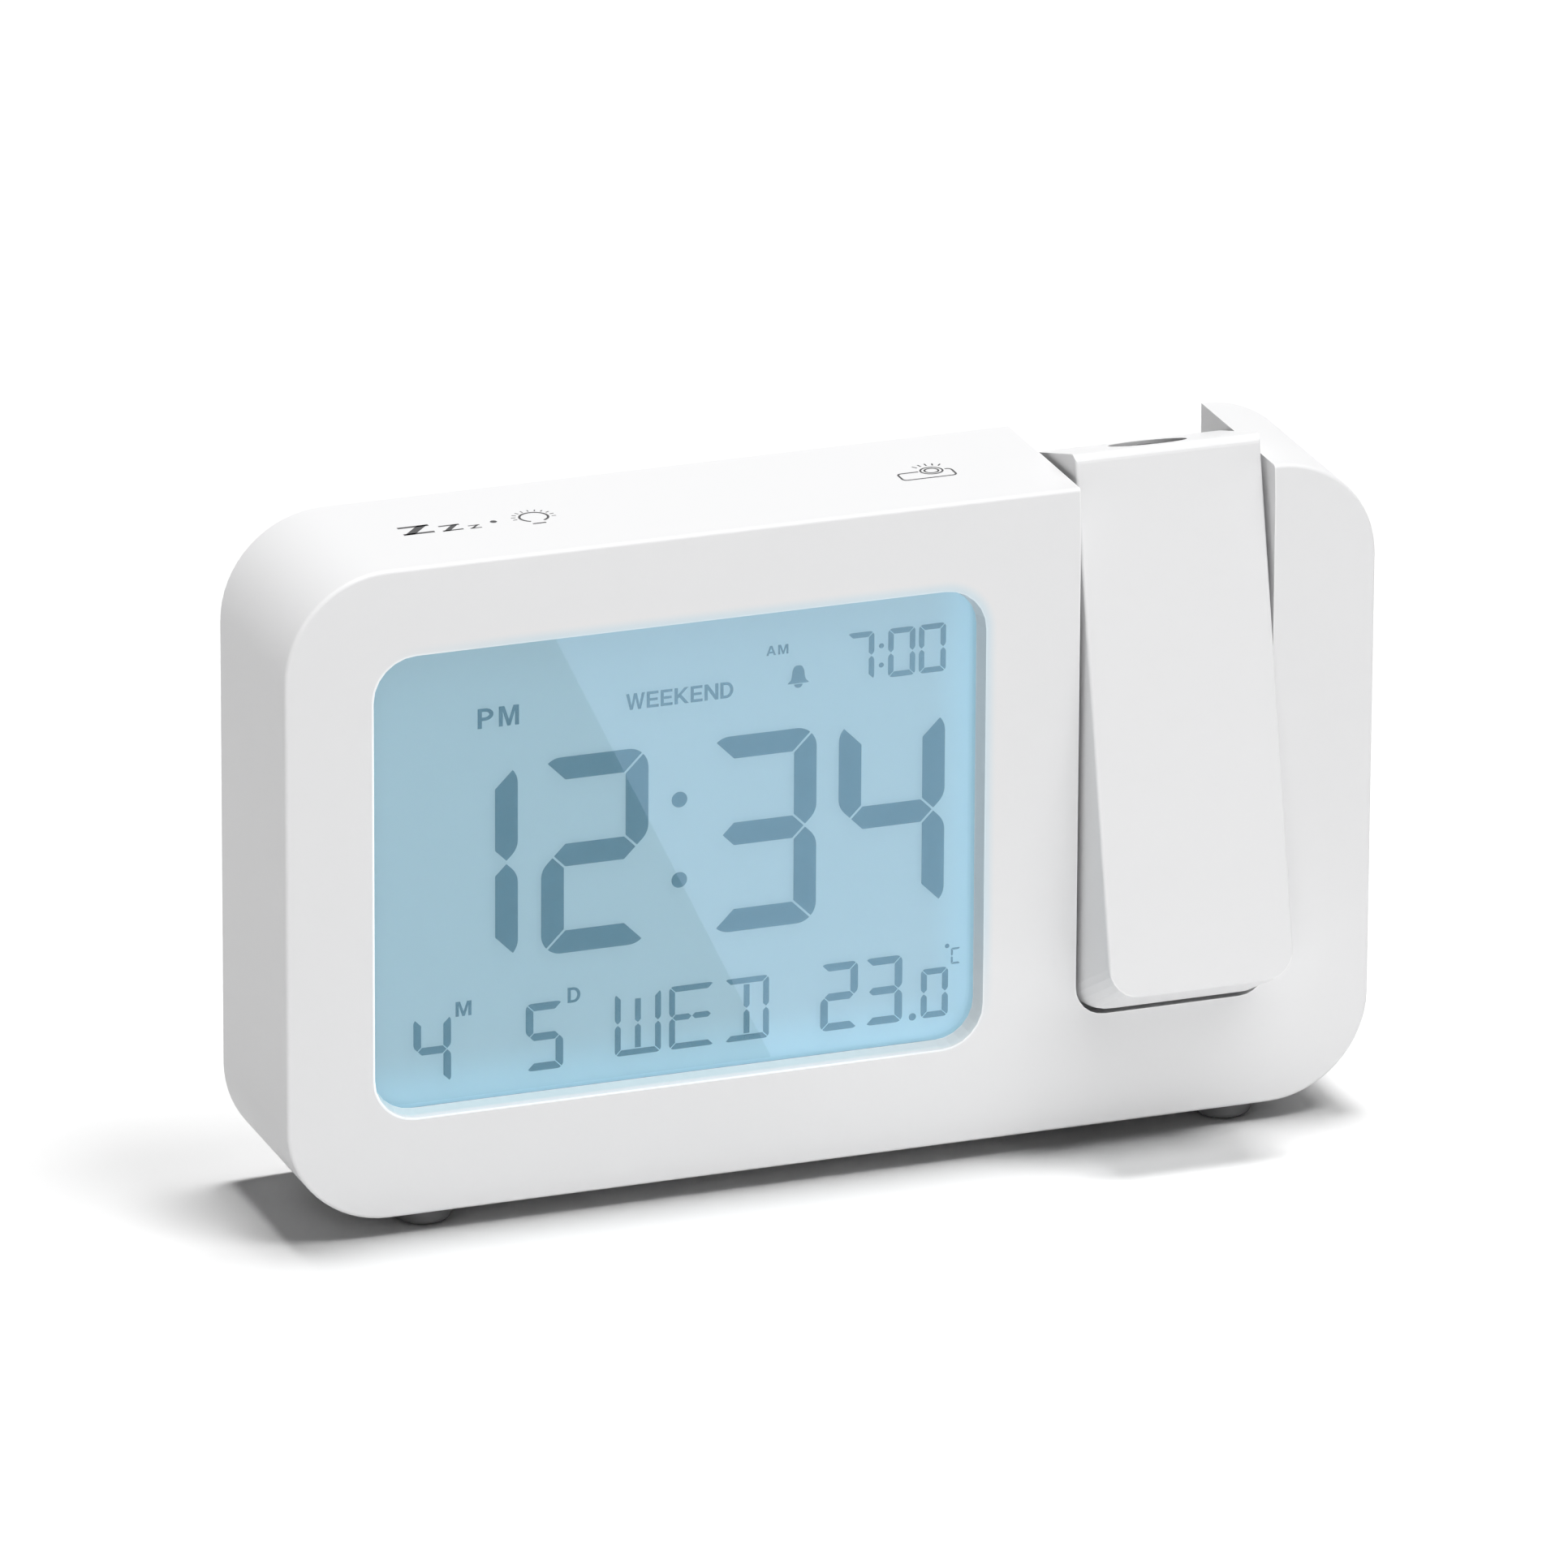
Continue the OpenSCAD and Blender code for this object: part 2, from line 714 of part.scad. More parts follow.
// Foils below the two touch areas of the top
module touch_pads() {
    color("goldenrod") placed() for (x = [[-54, -29], [8, 22]])
        box([x[0], 11, body_h - wall - 0.4], [x[1], 20, body_h - wall - 0.05]);
}

module key_board() {
    x0 = key_x0 - 6;
    x1 = switch_x + 6;
    color("darkgreen") placed() difference() {
        box([x0, key_board_y, key_z - 5], [x1, key_board_y + 1.2, key_z + 5]);
        for (x = [x0 + 1.2, key_x(5) + 7])
            translate([x, 0, key_z]) rod_y(key_board_y - 1, key_board_y + 2, 1);
    }
}

module tact_switches() {
    base = key_board_y + 1.22;
    color("dimgray") placed() at_keys() {
        box([-2.6, base, -2.2], [2.6, base + 1.2, 2.2]);
        rod_y(base + 1.1, switch_top, 1.2);
    }
}

module slide_switch() {
    base = key_board_y + 1.22;
    color("silver") placed() translate([switch_x, 0, key_z])
        box([-5, base, -1.8], [5, key_end - 0.2, 1.8]);
}

// Flat lead from the main board to the key board
module key_ribbon() {
    x = -30;
    color("gainsboro") placed() {
        box([x - 5, board_y + board_t + 0.02, 57.6], [x + 5, key_board_y - 1.4, 57.9]);
        box([x - 5, key_board_y - 1.7, 57.6], [x + 5, key_board_y - 1.4, 62]);
        box([x - 5, key_board_y - 1.7, 61.7], [x + 5, key_board_y - 0.02, 62]);
    }
}

module board_screws() {
    color("silver") placed() for (p = board_posts) translate([p[0], 0, p[1]]) {
        rod_y(board_y - 4.5, board_y + board_t + 0.1, board_screw_r);
        rod_y(board_y + board_t + 0.02, board_y + board_t + 1.2, 1.8);
    }
}

module speaker() {
    color("dimgray") placed() translate([speaker_x, 0, speaker_z]) difference() {
        union() {
            rod_y(speaker_y + 1.2, cover_y - 0.05, speaker_r);
            rod_y(speaker_y - 2.4, speaker_y + 1.3, speaker_r / 2);
        }
        // Open cone towards the slots
        translate([0, cover_y - 1.4, 0]) rotate([-90, 0, 0]) cylinder(r1 = 2, r2 = 8.6, h = 1.5);
    }
}

module temperature_sensor() {
    color("saddlebrown") placed() translate([-29, 0, 9]) {
        translate([0, 13.6, 0]) sphere(r = 1.5);
        for (x = [-0.6, 0.6]) translate([x, 0, 0]) rod_y(board_y + board_t + 0.02, 13, 0.25);
    }
}

// Power inlet: a square body round a barrel socket with a centre pin
module dc_jack() {
    color("black") placed() translate([jack_x, 0, jack_z]) {
        difference() {
            union() {
                box([-jack_w / 2, board_y + board_t + 0.02, -2.6], [jack_w / 2, cover_y - 0.6, jack_h - 2.6]);
                rod_y(cover_y - 1, body_d - 0.2, jack_r + 0.9);
            }
            rod_y(cover_y - 8, body_d + 1, jack_r);
        }
        rod_y(cover_y - 8.1, body_d - 1.2, 0.65);
    }
}

// ---- Keys ----

module set_key(i) {
    color("white") placed() translate([key_x(i), 0, key_z]) {
        along_y(well_back - 0.2, key_face) key_outline(0);
        along_y(well_back - 0.1 - key_flange, well_back - 0.1) key_outline(0.9);
        rod_y(key_end, well_back - 0.5, 1.4);
    }
}

module key_1() { set_key(0); }
module key_2() { set_key(1); }
module key_3() { set_key(2); }
module key_4() { set_key(3); }
module key_5() { set_key(4); }
module key_6() { set_key(5); }

module alarm_switch_knob() {
    x = switch_x - switch_travel / 2;
    color("white") placed() translate([x, 0, key_z]) difference() {
        union() {
            box([-switch_w / 2, well_back - 0.2, -switch_h / 2], [switch_w / 2, body_d - 0.15, switch_h / 2]);
            box([-switch_w / 2 - 0.6, key_end, -2.4], [switch_w / 2 + 0.6, well_back - 0.1, 2.4]);
        }
        // Grip grooves
        for (i = [-1:1]) translate([1.1 * i, body_d - 0.05, -3]) cylinder(r = 0.3, h = 6);
    }
}

// ---- Feet ----

module rubber_feet() {
    toe_r = 1;
    color("gray") placed() at_feet() rotate_extrude() polygon(concat(
        [[0, 0.8], [0, -foot_h]],
        arc(foot_r - 0.3 - toe_r, toe_r - foot_h, toe_r, -90, 0),
        [[foot_r, -0.2], [foot_r, 0.8]]));
}

// ---- Hinge ----

// Friction bushes between the knuckle and the two sides of the bay
module hinge_bushes() {
    half = arm_w / 2 - arm_wall - arm_lid_gap;
    color("gray") placed() translate([bay_x, pivot_back, pivot_z]) for (side = [0, 1])
        mirror([side, 0, 0]) difference() {
            rod_x(half + 0.06, bay_w / 2 - 0.04, 3.5);
            rod_x(0, bay_w, tube_r + running);
        }
}

// Hollow hinge pin that carries the lead into the arm
module hinge_tube() {
    color("silver") on_arm() translate([0, pivot_back, pivot_z]) difference() {
        rod_x(tube_x0, tube_x1, tube_r);
        rod_x(tube_x0 - 1, tube_x1 + 1, tube_bore_r);
        // Groove for the clip
        translate([tube_x0 + 0.2, 0, 0]) difference() {
            rod_x(0, 0.6, tube_r + 1);
            rod_x(-1, 2, tube_r - 0.3);
        }
        // Window for the lead
        translate([bay_x + lead_x, 0, 0]) box([-1.4, -4, -1.4], [1.4, 0, 1.4]);
    }
}

module hinge_clip() {
    color("silver") on_arm() translate([tube_x0 + 0.25, pivot_back, pivot_z]) difference() {
        rod_x(0, 0.45, tube_r + 1.3);
        rod_x(-1, 1, tube_r - 0.28);
        box([-1, -1.5, 0], [1, 1.5, 6]);
    }
}

module projector_lead() {
    bend = 3.5;
    x = tube_x0 - bend - 1;
    arch = [for (i = [0:4]) let (a = 90 * i / 4)
        [x + bend - bend * cos(a), pivot_back, pivot_z - bend + bend * sin(a)]];
    color("black") placed() lead(concat(
        [[x, pivot_back - 1, 54.7], [x, pivot_back, 58]], arch,
        [[bay_x - bay_w / 2, pivot_back, pivot_z]]), 0.8);
}

// ---- Projector arm ----

// Side outline of the arm, shrunk by an inset, with its rear at a given depth
function arm_side(inset, rear) =
    let (toe = max(arm_edge_r - inset, 0.2), heel = max(arm_heel_r - inset, 0.2),
         base = arm_foot + inset / cos(arm_slope) - inset * tan(arm_slope),
         toe_up = (toe - toe * sin(arm_slope)) / cos(arm_slope),
         run = rear - inset - heel,
         heel_up = (heel - run * sin(arm_slope)) / cos(arm_slope),
         brow = max(arm_brow_r - inset, 0.2),
         top = arm_top - inset - brow,
         rear_top = top + brow / cos(arm_top_slope) - (rear - inset - brow) * tan(arm_top_slope))
    concat(
        arc(inset + toe, base + toe_up, toe, 180, 270 - arm_slope),
        arc(rear - heel, base + heel_up, heel, 270 - arm_slope, 360),
        [[rear, rear_top]],
        arc(inset + brow, top, brow, 90 - arm_top_slope, 180));

// The arm as one full form
module arm_form() {
    intersection() {
        along_x(bay_x - arm_w / 2, bay_x + arm_w / 2) polygon(arm_side(0, arm_d));
        sloping_slot(arm_w, arm_corner_r, arm_foot, arm_slope);
        translate([bay_x, arm_d / 2 + 2, 0])
            along_z(0, body_h + 1) rounded_rect(arm_w, arm_d + 4, arm_edge_r);
    }
}

arm_posts = [[bay_x - 8, 50], [bay_x + 8, 50], [bay_x, 22.8]];
arm_lid_y = arm_d - arm_wall;
lid_z0 = arm_foot + 4.2;

module at_arm_posts() {
    for (p = arm_posts) translate([p[0], 0, p[1]]) children();
}

// Face, sides, top and underside of the arm in one moulding, open at its rear
module arm_front_cover() {
    in_w = arm_w - 2 * arm_wall;
    color("white") on_arm() difference() {
        arm_form();
        difference() {
            intersection() {
                along_x(bay_x - in_w / 2, bay_x + in_w / 2) polygon(arm_side(arm_wall, arm_d + 3));
                sloping_slot(in_w, arm_corner_r - arm_wall, arm_foot + arm_wall, arm_slope);
                // Closed heel below the rear cover
                union() {
                    box([0, -1, 0], [body_w, arm_lid_y, body_h]);
                    box([0, -1, lid_z0], [body_w, arm_d + 4, body_h]);
                }
            }
            at_arm_posts() rod_y(0, arm_lid_y - 0.1, 2);
        }
        at_arm_posts() rod_y(4, arm_d, 0.8);
        // Aperture of the focus ring
        translate([bay_x, optic_y, 0]) rod_z(arm_top - 3, arm_top + 1, 4.9);
        // Room for the two bushes
        translate([0, pivot_back, pivot_z]) rod_x(bay_x - bay_w, bay_x + bay_w, 3.9);
    }
}

// Rear of the arm with its hinge knuckle
module arm_rear_cover() {
    half = arm_w / 2 - arm_wall - arm_lid_gap;
    gusset_t = 1.6;
    color("white") on_arm() difference() {
        union() {
            box([bay_x - half, arm_lid_y, lid_z0 + arm_lid_gap],
                [bay_x + half, arm_d, arm_top - arm_wall - arm_lid_gap - arm_top_fall]);
            translate([0, pivot_back, pivot_z])
                rod_x(bay_x - half, bay_x + half, knuckle_r);
            // Gussets between the knuckle and the cover
            for (x = [-half, -gusset_t / 2, half - gusset_t])
                along_x(bay_x + x, bay_x + x + gusset_t) polygon([
                    [arm_d - 0.5, pivot_z - 11], [pivot_back + 3, pivot_z - 2.6],
                    [pivot_back + 3, pivot_z + 2.6], [arm_d - 0.5, pivot_z + 9]]);
        }
        translate([0, pivot_back, pivot_z]) rod_x(0, body_w, tube_r);
        // Flat inside, and way for the lead from the pin into the arm
        box([0, 0, 0], [body_w, arm_lid_y, body_h]);
        translate([bay_x + lead_x, pivot_back, pivot_z]) box([-1.4, -6, -1.4], [1.4, 0, 1.4]);
        at_arm_posts() {
            rod_y(0, arm_d + 1, 1);
            rod_y(arm_d - 0.8, arm_d + 1, 1.8);
        }
    }
}

module arm_screws() {
    color("silver") on_arm() at_arm_posts() {
        rod_y(4.6, arm_d - 0.7, 0.8);
        rod_y(arm_d - 0.78, arm_d - 0.05, 1.6);
    }
}

module led_board() {
    color("darkgreen") on_arm() translate([bay_x, optic_y, 0]) box([-9, -4.6, 27], [9, 4.6, 28]);
}

module projector_led() {
    color("lightyellow") on_arm() translate([bay_x, optic_y, 28.02]) {
        cylinder(r = 2.9, h = 1);
        cylinder(r = 2.5, h = 4);
        intersection() {
            translate([0, 0, 4]) sphere(r = 2.5);
            cylinder(r = 4, h = 8);
        }
    }
}

// Straight tube from the lamp to the objective, slit for the slide
module optics_tube() {
    color("dimgray") on_arm() translate([bay_x, optic_y, 0]) difference() {
        rod_z(31, 80.2, optic_r);
        rod_z(30, 38, 3.4);
        rod_z(38, 41.9, 4.35);
        rod_z(41, 66, 3.9);
        rod_z(66, 81, 4.6);
        box([-4, -4.4, 46], [4, 6, 47.6]);
        // Keyway of the lens cell
        translate([4.4, 0, 0]) box([-0.5, -0.7, 66], [0.5, 0.7, 81]);
    }
}

module condenser_lens() {
    bulge_r = 8;
    color("lightcyan", 0.6) on_arm() translate([bay_x, optic_y, 38.02]) intersection() {
        cylinder(r = 4.3, h = 3.8);
        translate([0, 0, 3.8 - bulge_r]) sphere(r = bulge_r);
    }
}

// Small liquid crystal cell that is projected
module slide_lcd() {
    color("steelblue") on_arm() translate([bay_x, optic_y, 0]) {
        box([-3.9, -4.3, 46.1], [3.9, 4.9, 47.5]);
    }
}

module arm_lead() {
    x = bay_x + lead_x;
    y = 11.3;
    r = 0.8;
    color("black") on_arm() {
        translate([0, pivot_back, pivot_z]) rod_x(bay_x - bay_w / 2 + 0.05, x, r);
        translate([x, 0, pivot_z]) rod_y(y, pivot_back, r);
        translate([x, y, 0]) rod_z(28.1, pivot_z, r);
        for (corner_y = [y, pivot_back]) translate([x, corner_y, pivot_z]) sphere(r = r);
    }
}

// Ring that turns in the top of the arm
module focus_ring() {
    ring_top = arm_top - 0.1 - arm_top_fall;
    color("dimgray") on_arm() translate([bay_x, optic_y, 0]) difference() {
        union() {
            rod_z(80.6, ring_top - arm_wall, 5.4);
            rod_z(81, ring_top, 4.65);
        }
        rod_z(80, arm_top + 1, 3.7);
        // Grip notches round the rim
        for (a = [0:30:330])
            rotate([0, 0, a]) translate([4.65, 0, ring_top - 0.7]) cylinder(r = 0.35, h = 2);
    }
}

// Sliding cell that carries the objective
module lens_cell() {
    color("dimgray") on_arm() translate([bay_x, optic_y, 0]) difference() {
        union() {
            rod_z(71, 78.6, 4.52);
            translate([4.3, 0, 0]) box([-0.5, -0.6, 71], [0.5, 0.6, 78.6]);
        }
        rod_z(70, 73.5, 3.2);
        rod_z(73.4, 80, 3.7);
    }
}

module objective_lens() {
    bulge_r = 7;
    color("lightcyan", 0.6) on_arm() translate([bay_x, optic_y, 75.4]) intersection() {
        translate([0, 0, -1.8]) cylinder(r = 3.7, h = 4);
        translate([0, 0, 2 - bulge_r]) sphere(r = bulge_r);
        translate([0, 0, bulge_r - 1.8]) sphere(r = bulge_r);
    }
}

// ---- Build ----
front_case();
rear_cover();
display_lens();
lcd_glass();
diffuser_sheet();
light_guide();
lcd_frame();
elastomer_strip();
backlight_leds();
main_board();
controller_chip();
board_connectors();
touch_pads();
key_board();
tact_switches();
slide_switch();
key_ribbon();
speaker();
temperature_sensor();
dc_jack();
battery_cells();
battery_springs();
battery_contacts();
battery_door();
case_screws();
board_screws();
rubber_feet();
hinge_bushes();
projector_lead();
key_1();
key_2();
key_3();
key_4();
key_5();
key_6();
alarm_switch_knob();
arm_front_cover();
arm_rear_cover();
hinge_tube();
hinge_clip();
arm_screws();
led_board();
projector_led();
condenser_lens();
slide_lcd();
optics_tube();
arm_lead();
focus_ring();
lens_cell();
objective_lens();
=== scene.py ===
import json
import math

import bmesh
import bpy
from mathutils import Matrix, Vector

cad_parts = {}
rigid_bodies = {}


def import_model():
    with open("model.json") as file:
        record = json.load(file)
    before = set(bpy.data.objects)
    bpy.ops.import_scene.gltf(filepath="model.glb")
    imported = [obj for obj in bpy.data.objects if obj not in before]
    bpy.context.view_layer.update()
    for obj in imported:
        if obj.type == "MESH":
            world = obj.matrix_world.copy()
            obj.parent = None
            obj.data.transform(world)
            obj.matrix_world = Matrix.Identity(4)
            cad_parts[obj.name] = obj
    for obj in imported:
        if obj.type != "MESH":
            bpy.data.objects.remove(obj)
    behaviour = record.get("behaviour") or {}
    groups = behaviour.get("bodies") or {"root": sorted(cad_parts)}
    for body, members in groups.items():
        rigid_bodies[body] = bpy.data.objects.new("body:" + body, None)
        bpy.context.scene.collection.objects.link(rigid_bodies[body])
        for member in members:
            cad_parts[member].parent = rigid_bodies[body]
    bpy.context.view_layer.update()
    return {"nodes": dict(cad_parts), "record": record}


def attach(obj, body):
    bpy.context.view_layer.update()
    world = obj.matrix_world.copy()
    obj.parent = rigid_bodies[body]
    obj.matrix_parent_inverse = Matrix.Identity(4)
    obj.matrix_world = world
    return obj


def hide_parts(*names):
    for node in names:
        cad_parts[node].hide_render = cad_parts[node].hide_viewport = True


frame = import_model()
MM = 0.001
BODY_W, BODY_H = 142.0, 84.2
FRONT_Y, FOOT_H = -7.229, 2.5


def at(x, y, z):
    """A place on the clock: mm from the body's left side, front plane and underside."""
    return Vector(((x - BODY_W / 2) * MM, (y + FRONT_Y) * MM, (z + FOOT_H) * MM))


bpy.context.scene.view_settings.view_transform = "Standard"

# ---- Camera ----
YAW, PITCH, ROLL = math.radians(20.30), math.radians(20.55), math.radians(0.30)
FOCAL_PX, IMAGE_PX, SENSOR = 20782.0, 1932.0, 36.0
AIM, DISTANCE = at(64.17, 0, 50.54), 2.063


def make_camera():
    fwd = Vector((math.sin(YAW) * math.cos(PITCH), math.cos(YAW) * math.cos(PITCH), -math.sin(PITCH)))
    right = Vector((math.cos(YAW), -math.sin(YAW), 0))
    up = right.cross(fwd)
    r = right * math.cos(ROLL) + up * math.sin(ROLL)
    u = -right * math.sin(ROLL) + up * math.cos(ROLL)
    data = bpy.data.cameras.new("camera")
    data.sensor_width = SENSOR
    data.lens = FOCAL_PX * SENSOR / IMAGE_PX
    data.clip_start, data.clip_end = 0.1, 20
    cam = bpy.data.objects.new("camera", data)
    bpy.context.scene.collection.objects.link(cam)
    place = AIM - fwd * DISTANCE
    cam.matrix_world = Matrix((
        (r.x, u.x, -fwd.x, place.x),
        (r.y, u.y, -fwd.y, place.y),
        (r.z, u.z, -fwd.z, place.z),
        (0, 0, 0, 1)))
    bpy.context.scene.camera = cam


make_camera()


# ---- Materials ----
PLASTIC_IOR, ACRYLIC_IOR, GLASS_IOR = 1.46, 1.49, 1.52
LENS_IOR = 1.82  # above acrylic's, for a reflection as strong as the photo's
LCD_GLASS_IOR = 1.1  # hardly any reflection of its own, behind the lens
GRAIN_DEPTH, RIPPLE_DEPTH, WEAVE_DEPTH = 0.00004, 0.00002, 0.00005


def new_material(name):
    m = bpy.data.materials.new(name)
    m.use_nodes = True
    t = m.node_tree
    return m, t, t.nodes["Principled BSDF"]


def node(tree, kind, **inputs):
    n = tree.nodes.new(kind)
    for k, v in inputs.items():
        n.inputs[k.replace("_", " ")].default_value = v
    return n


def calc(t, op, a, b, clamp=False):
    """One Math node, from two numbers or sockets."""
    n = t.nodes.new("ShaderNodeMath")
    n.operation, n.use_clamp = op, clamp
    for i, v in enumerate((a, b)):
        if isinstance(v, float):
            n.inputs[i].default_value = v
        else:
            t.links.new(v, n.inputs[i])
    return n.outputs[0]


def blend(t, kind, factor, a, b):
    """One colour Mix node, from a number or socket and two colours or sockets."""
    n = t.nodes.new("ShaderNodeMix")
    n.data_type, n.blend_type = "RGBA", kind
    for socket, v in (("Factor", factor), ("A", a), ("B", b)):
        if isinstance(v, float):
            n.inputs[socket].default_value = v
        elif isinstance(v, (tuple, list)):
            n.inputs[socket].default_value = (*v, 1)
        else:
            t.links.new(v, n.inputs[socket])
    return n.outputs["Result"]


def solid(name, color, rough, metallic=0.0, grain=900.0, bump=0.05, shade=0.04, rough_var=0.06, coat=0.0):
    """Moulded or metal surface: fine grain in its relief, and slow drifts of tone and gloss."""
    m, t, p = new_material(name)
    p.inputs["Metallic"].default_value = metallic
    p.inputs["IOR"].default_value = PLASTIC_IOR
    if coat:
        p.inputs["Coat Weight"].default_value = coat
        p.inputs["Coat Roughness"].default_value = 0.12
    place = t.nodes.new("ShaderNodeTexCoord")
    slow = node(t, "ShaderNodeTexNoise", Scale=38.0, Detail=3.0, Roughness=0.55)
    fine = node(t, "ShaderNodeTexNoise", Scale=grain, Detail=2.0, Roughness=0.6)
    for n in (slow, fine):
        t.links.new(place.outputs["Object"], n.inputs["Vector"])
    dark, pale = [c * (1 - shade) for c in color], [min(1, c * (1 + shade)) for c in color]
    t.links.new(blend(t, "MIX", slow.outputs["Fac"], dark, pale), p.inputs["Base Color"])
    gloss = node(t, "ShaderNodeMapRange", To_Min=max(0.02, rough - rough_var), To_Max=rough + rough_var)
    t.links.new(slow.outputs["Fac"], gloss.inputs["Value"])
    t.links.new(gloss.outputs["Result"], p.inputs["Roughness"])
    relief = node(t, "ShaderNodeBump", Strength=bump, Distance=GRAIN_DEPTH)
    t.links.new(fine.outputs["Fac"], relief.inputs["Height"])
    t.links.new(relief.outputs["Normal"], p.inputs["Normal"])
    return m


def clear(name, color, rough, ior=ACRYLIC_IOR, tint=(1, 1, 1)):
    """Clear moulding or glass: it reflects as such a pane does, and lets the lamps' light pass."""
    m, t, p = new_material(name)
    p.inputs["Base Color"].default_value = (*color, 1)
    p.inputs["Roughness"].default_value = rough
    p.inputs["Transmission Weight"].default_value = 1.0
    p.inputs["IOR"].default_value = ior
    p.inputs["Specular Tint"].default_value = (*tint, 1)
    place = t.nodes.new("ShaderNodeTexCoord")
    ripple = node(t, "ShaderNodeTexNoise", Scale=55.0, Detail=1.0)
    t.links.new(place.outputs["Object"], ripple.inputs["Vector"])
    relief = node(t, "ShaderNodeBump", Strength=0.02, Distance=RIPPLE_DEPTH)
    t.links.new(ripple.outputs["Fac"], relief.inputs["Height"])
    t.links.new(relief.outputs["Normal"], p.inputs["Normal"])
    path = t.nodes.new("ShaderNodeLightPath")
    passing = node(t, "ShaderNodeBsdfTransparent", Color=(*color, 1))
    mix = t.nodes.new("ShaderNodeMixShader")
    t.links.new(path.outputs["Is Shadow Ray"], mix.inputs["Fac"])
    t.links.new(p.outputs["BSDF"], mix.inputs[1])
    t.links.new(passing.outputs["BSDF"], mix.inputs[2])
    t.links.new(mix.outputs["Shader"], t.nodes["Material Output"].inputs["Surface"])
    return m


def board_material():
    """Solder mask over woven glass, with the paler shapes of the copper under it."""
    m, t, p = new_material("board")
    place = t.nodes.new("ShaderNodeTexCoord")
    tracks = t.nodes.new("ShaderNodeTexBrick")
    for k, v in {"Scale": 420.0, "Mortar Size": 0.12, "Color1": (0.015, 0.16, 0.07, 1),
                 "Color2": (0.02, 0.2, 0.09, 1), "Mortar": (0.006, 0.09, 0.04, 1)}.items():
        tracks.inputs[k].default_value = v
    weave = node(t, "ShaderNodeTexNoise", Scale=2200.0, Detail=2.0)
    turn = t.nodes.new("ShaderNodeMapping")
    turn.inputs["Rotation"].default_value = (math.radians(90), 0, 0)
    t.links.new(place.outputs["Object"], turn.inputs["Vector"])
    t.links.new(turn.outputs["Vector"], tracks.inputs["Vector"])
    t.links.new(place.outputs["Object"], weave.inputs["Vector"])
    t.links.new(tracks.outputs["Color"], p.inputs["Base Color"])
    p.inputs["Roughness"].default_value = 0.3
    p.inputs["Coat Weight"].default_value = 0.4
    relief = node(t, "ShaderNodeBump", Strength=0.15, Distance=WEAVE_DEPTH)
    t.links.new(weave.outputs["Fac"], relief.inputs["Height"])
    t.links.new(relief.outputs["Normal"], p.inputs["Normal"])
    return m


CELL_LEFT, CELL_RIGHT = -0.0574, -0.0129
CELL_CAP, CELL_BAND, CELL_FAR_CAP = 0.04, 0.68, 0.94


def cell_material():
    """Two plain AAA cells lying along X: a dark sleeve, a paler band and bare steel ends."""
    m, t, p = new_material("cell")
    place = t.nodes.new("ShaderNodeTexCoord")
    axes = t.nodes.new("ShaderNodeSeparateXYZ")
    t.links.new(place.outputs["Object"], axes.inputs["Vector"])
    along = node(t, "ShaderNodeMapRange", From_Min=CELL_LEFT, From_Max=CELL_RIGHT)
    t.links.new(axes.outputs["X"], along.inputs["Value"])

    def bands(*stops):
        """Plain steps of colour along the cell."""
        n = t.nodes.new("ShaderNodeValToRGB")
        ramp = n.color_ramp
        ramp.interpolation = "CONSTANT"
        for i, (where, colour) in enumerate(stops[:2]):
            ramp.elements[i].position, ramp.elements[i].color = where, colour
        for where, colour in stops[2:]:
            ramp.elements.new(where).color = colour
        t.links.new(along.outputs["Result"], n.inputs["Fac"])
        return n

    steel, dark, band = (0.62, 0.62, 0.6, 1), (0.035, 0.045, 0.06, 1), (0.1, 0.28, 0.5, 1)
    white, black = (1, 1, 1, 1), (0, 0, 0, 1)
    sleeve = bands((0.0, steel), (CELL_CAP, dark), (CELL_BAND, band), (CELL_FAR_CAP, steel))
    bare = bands((0.0, white), (CELL_CAP, black), (CELL_FAR_CAP, white))
    wear = node(t, "ShaderNodeTexNoise", Scale=180.0, Detail=4.0)
    t.links.new(place.outputs["Object"], wear.inputs["Vector"])
    gloss = node(t, "ShaderNodeMapRange", To_Min=0.22, To_Max=0.38)
    t.links.new(wear.outputs["Fac"], gloss.inputs["Value"])
    t.links.new(sleeve.outputs["Color"], p.inputs["Base Color"])
    t.links.new(bare.outputs["Color"], p.inputs["Metallic"])
    t.links.new(gloss.outputs["Result"], p.inputs["Roughness"])
    return m


WIN_X, WIN_Z = 50.85, 42.95
WIN_W, WIN_H, WIN_R, WIN_DEPTH = 79.3, 60.1, 5.5, 2.6
# Painted light round the window: an emitted glow on its ledge and a highlight line along its rim at the
# lower left, and a bluish tint at the upper right.
PAINTED_LEDGE_GLOW, PAINTED_RIM_HIGHLIGHT, PAINTED_DISPLAY_TINT = (0.02, 0.14, 0.18), (0.22, 0.26, 0.28), (0.82, 0.94, 1.0)
LEDGE_BLUR, RIM_IN, RIM_FULL, RIM_OUT, PAINTED_TINT_REACH = 0.1, 0.2, 0.12, 0.32, 1.6
# Painted highlight: the case's base colour turns paler along its edges.
PAINTED_EDGE_HIGHLIGHT, EDGE_HIGHLIGHT_R, EDGE_HIGHLIGHT_TURN = (1.0, 1.0, 1.0), 0.35, (0.995, 0.9)


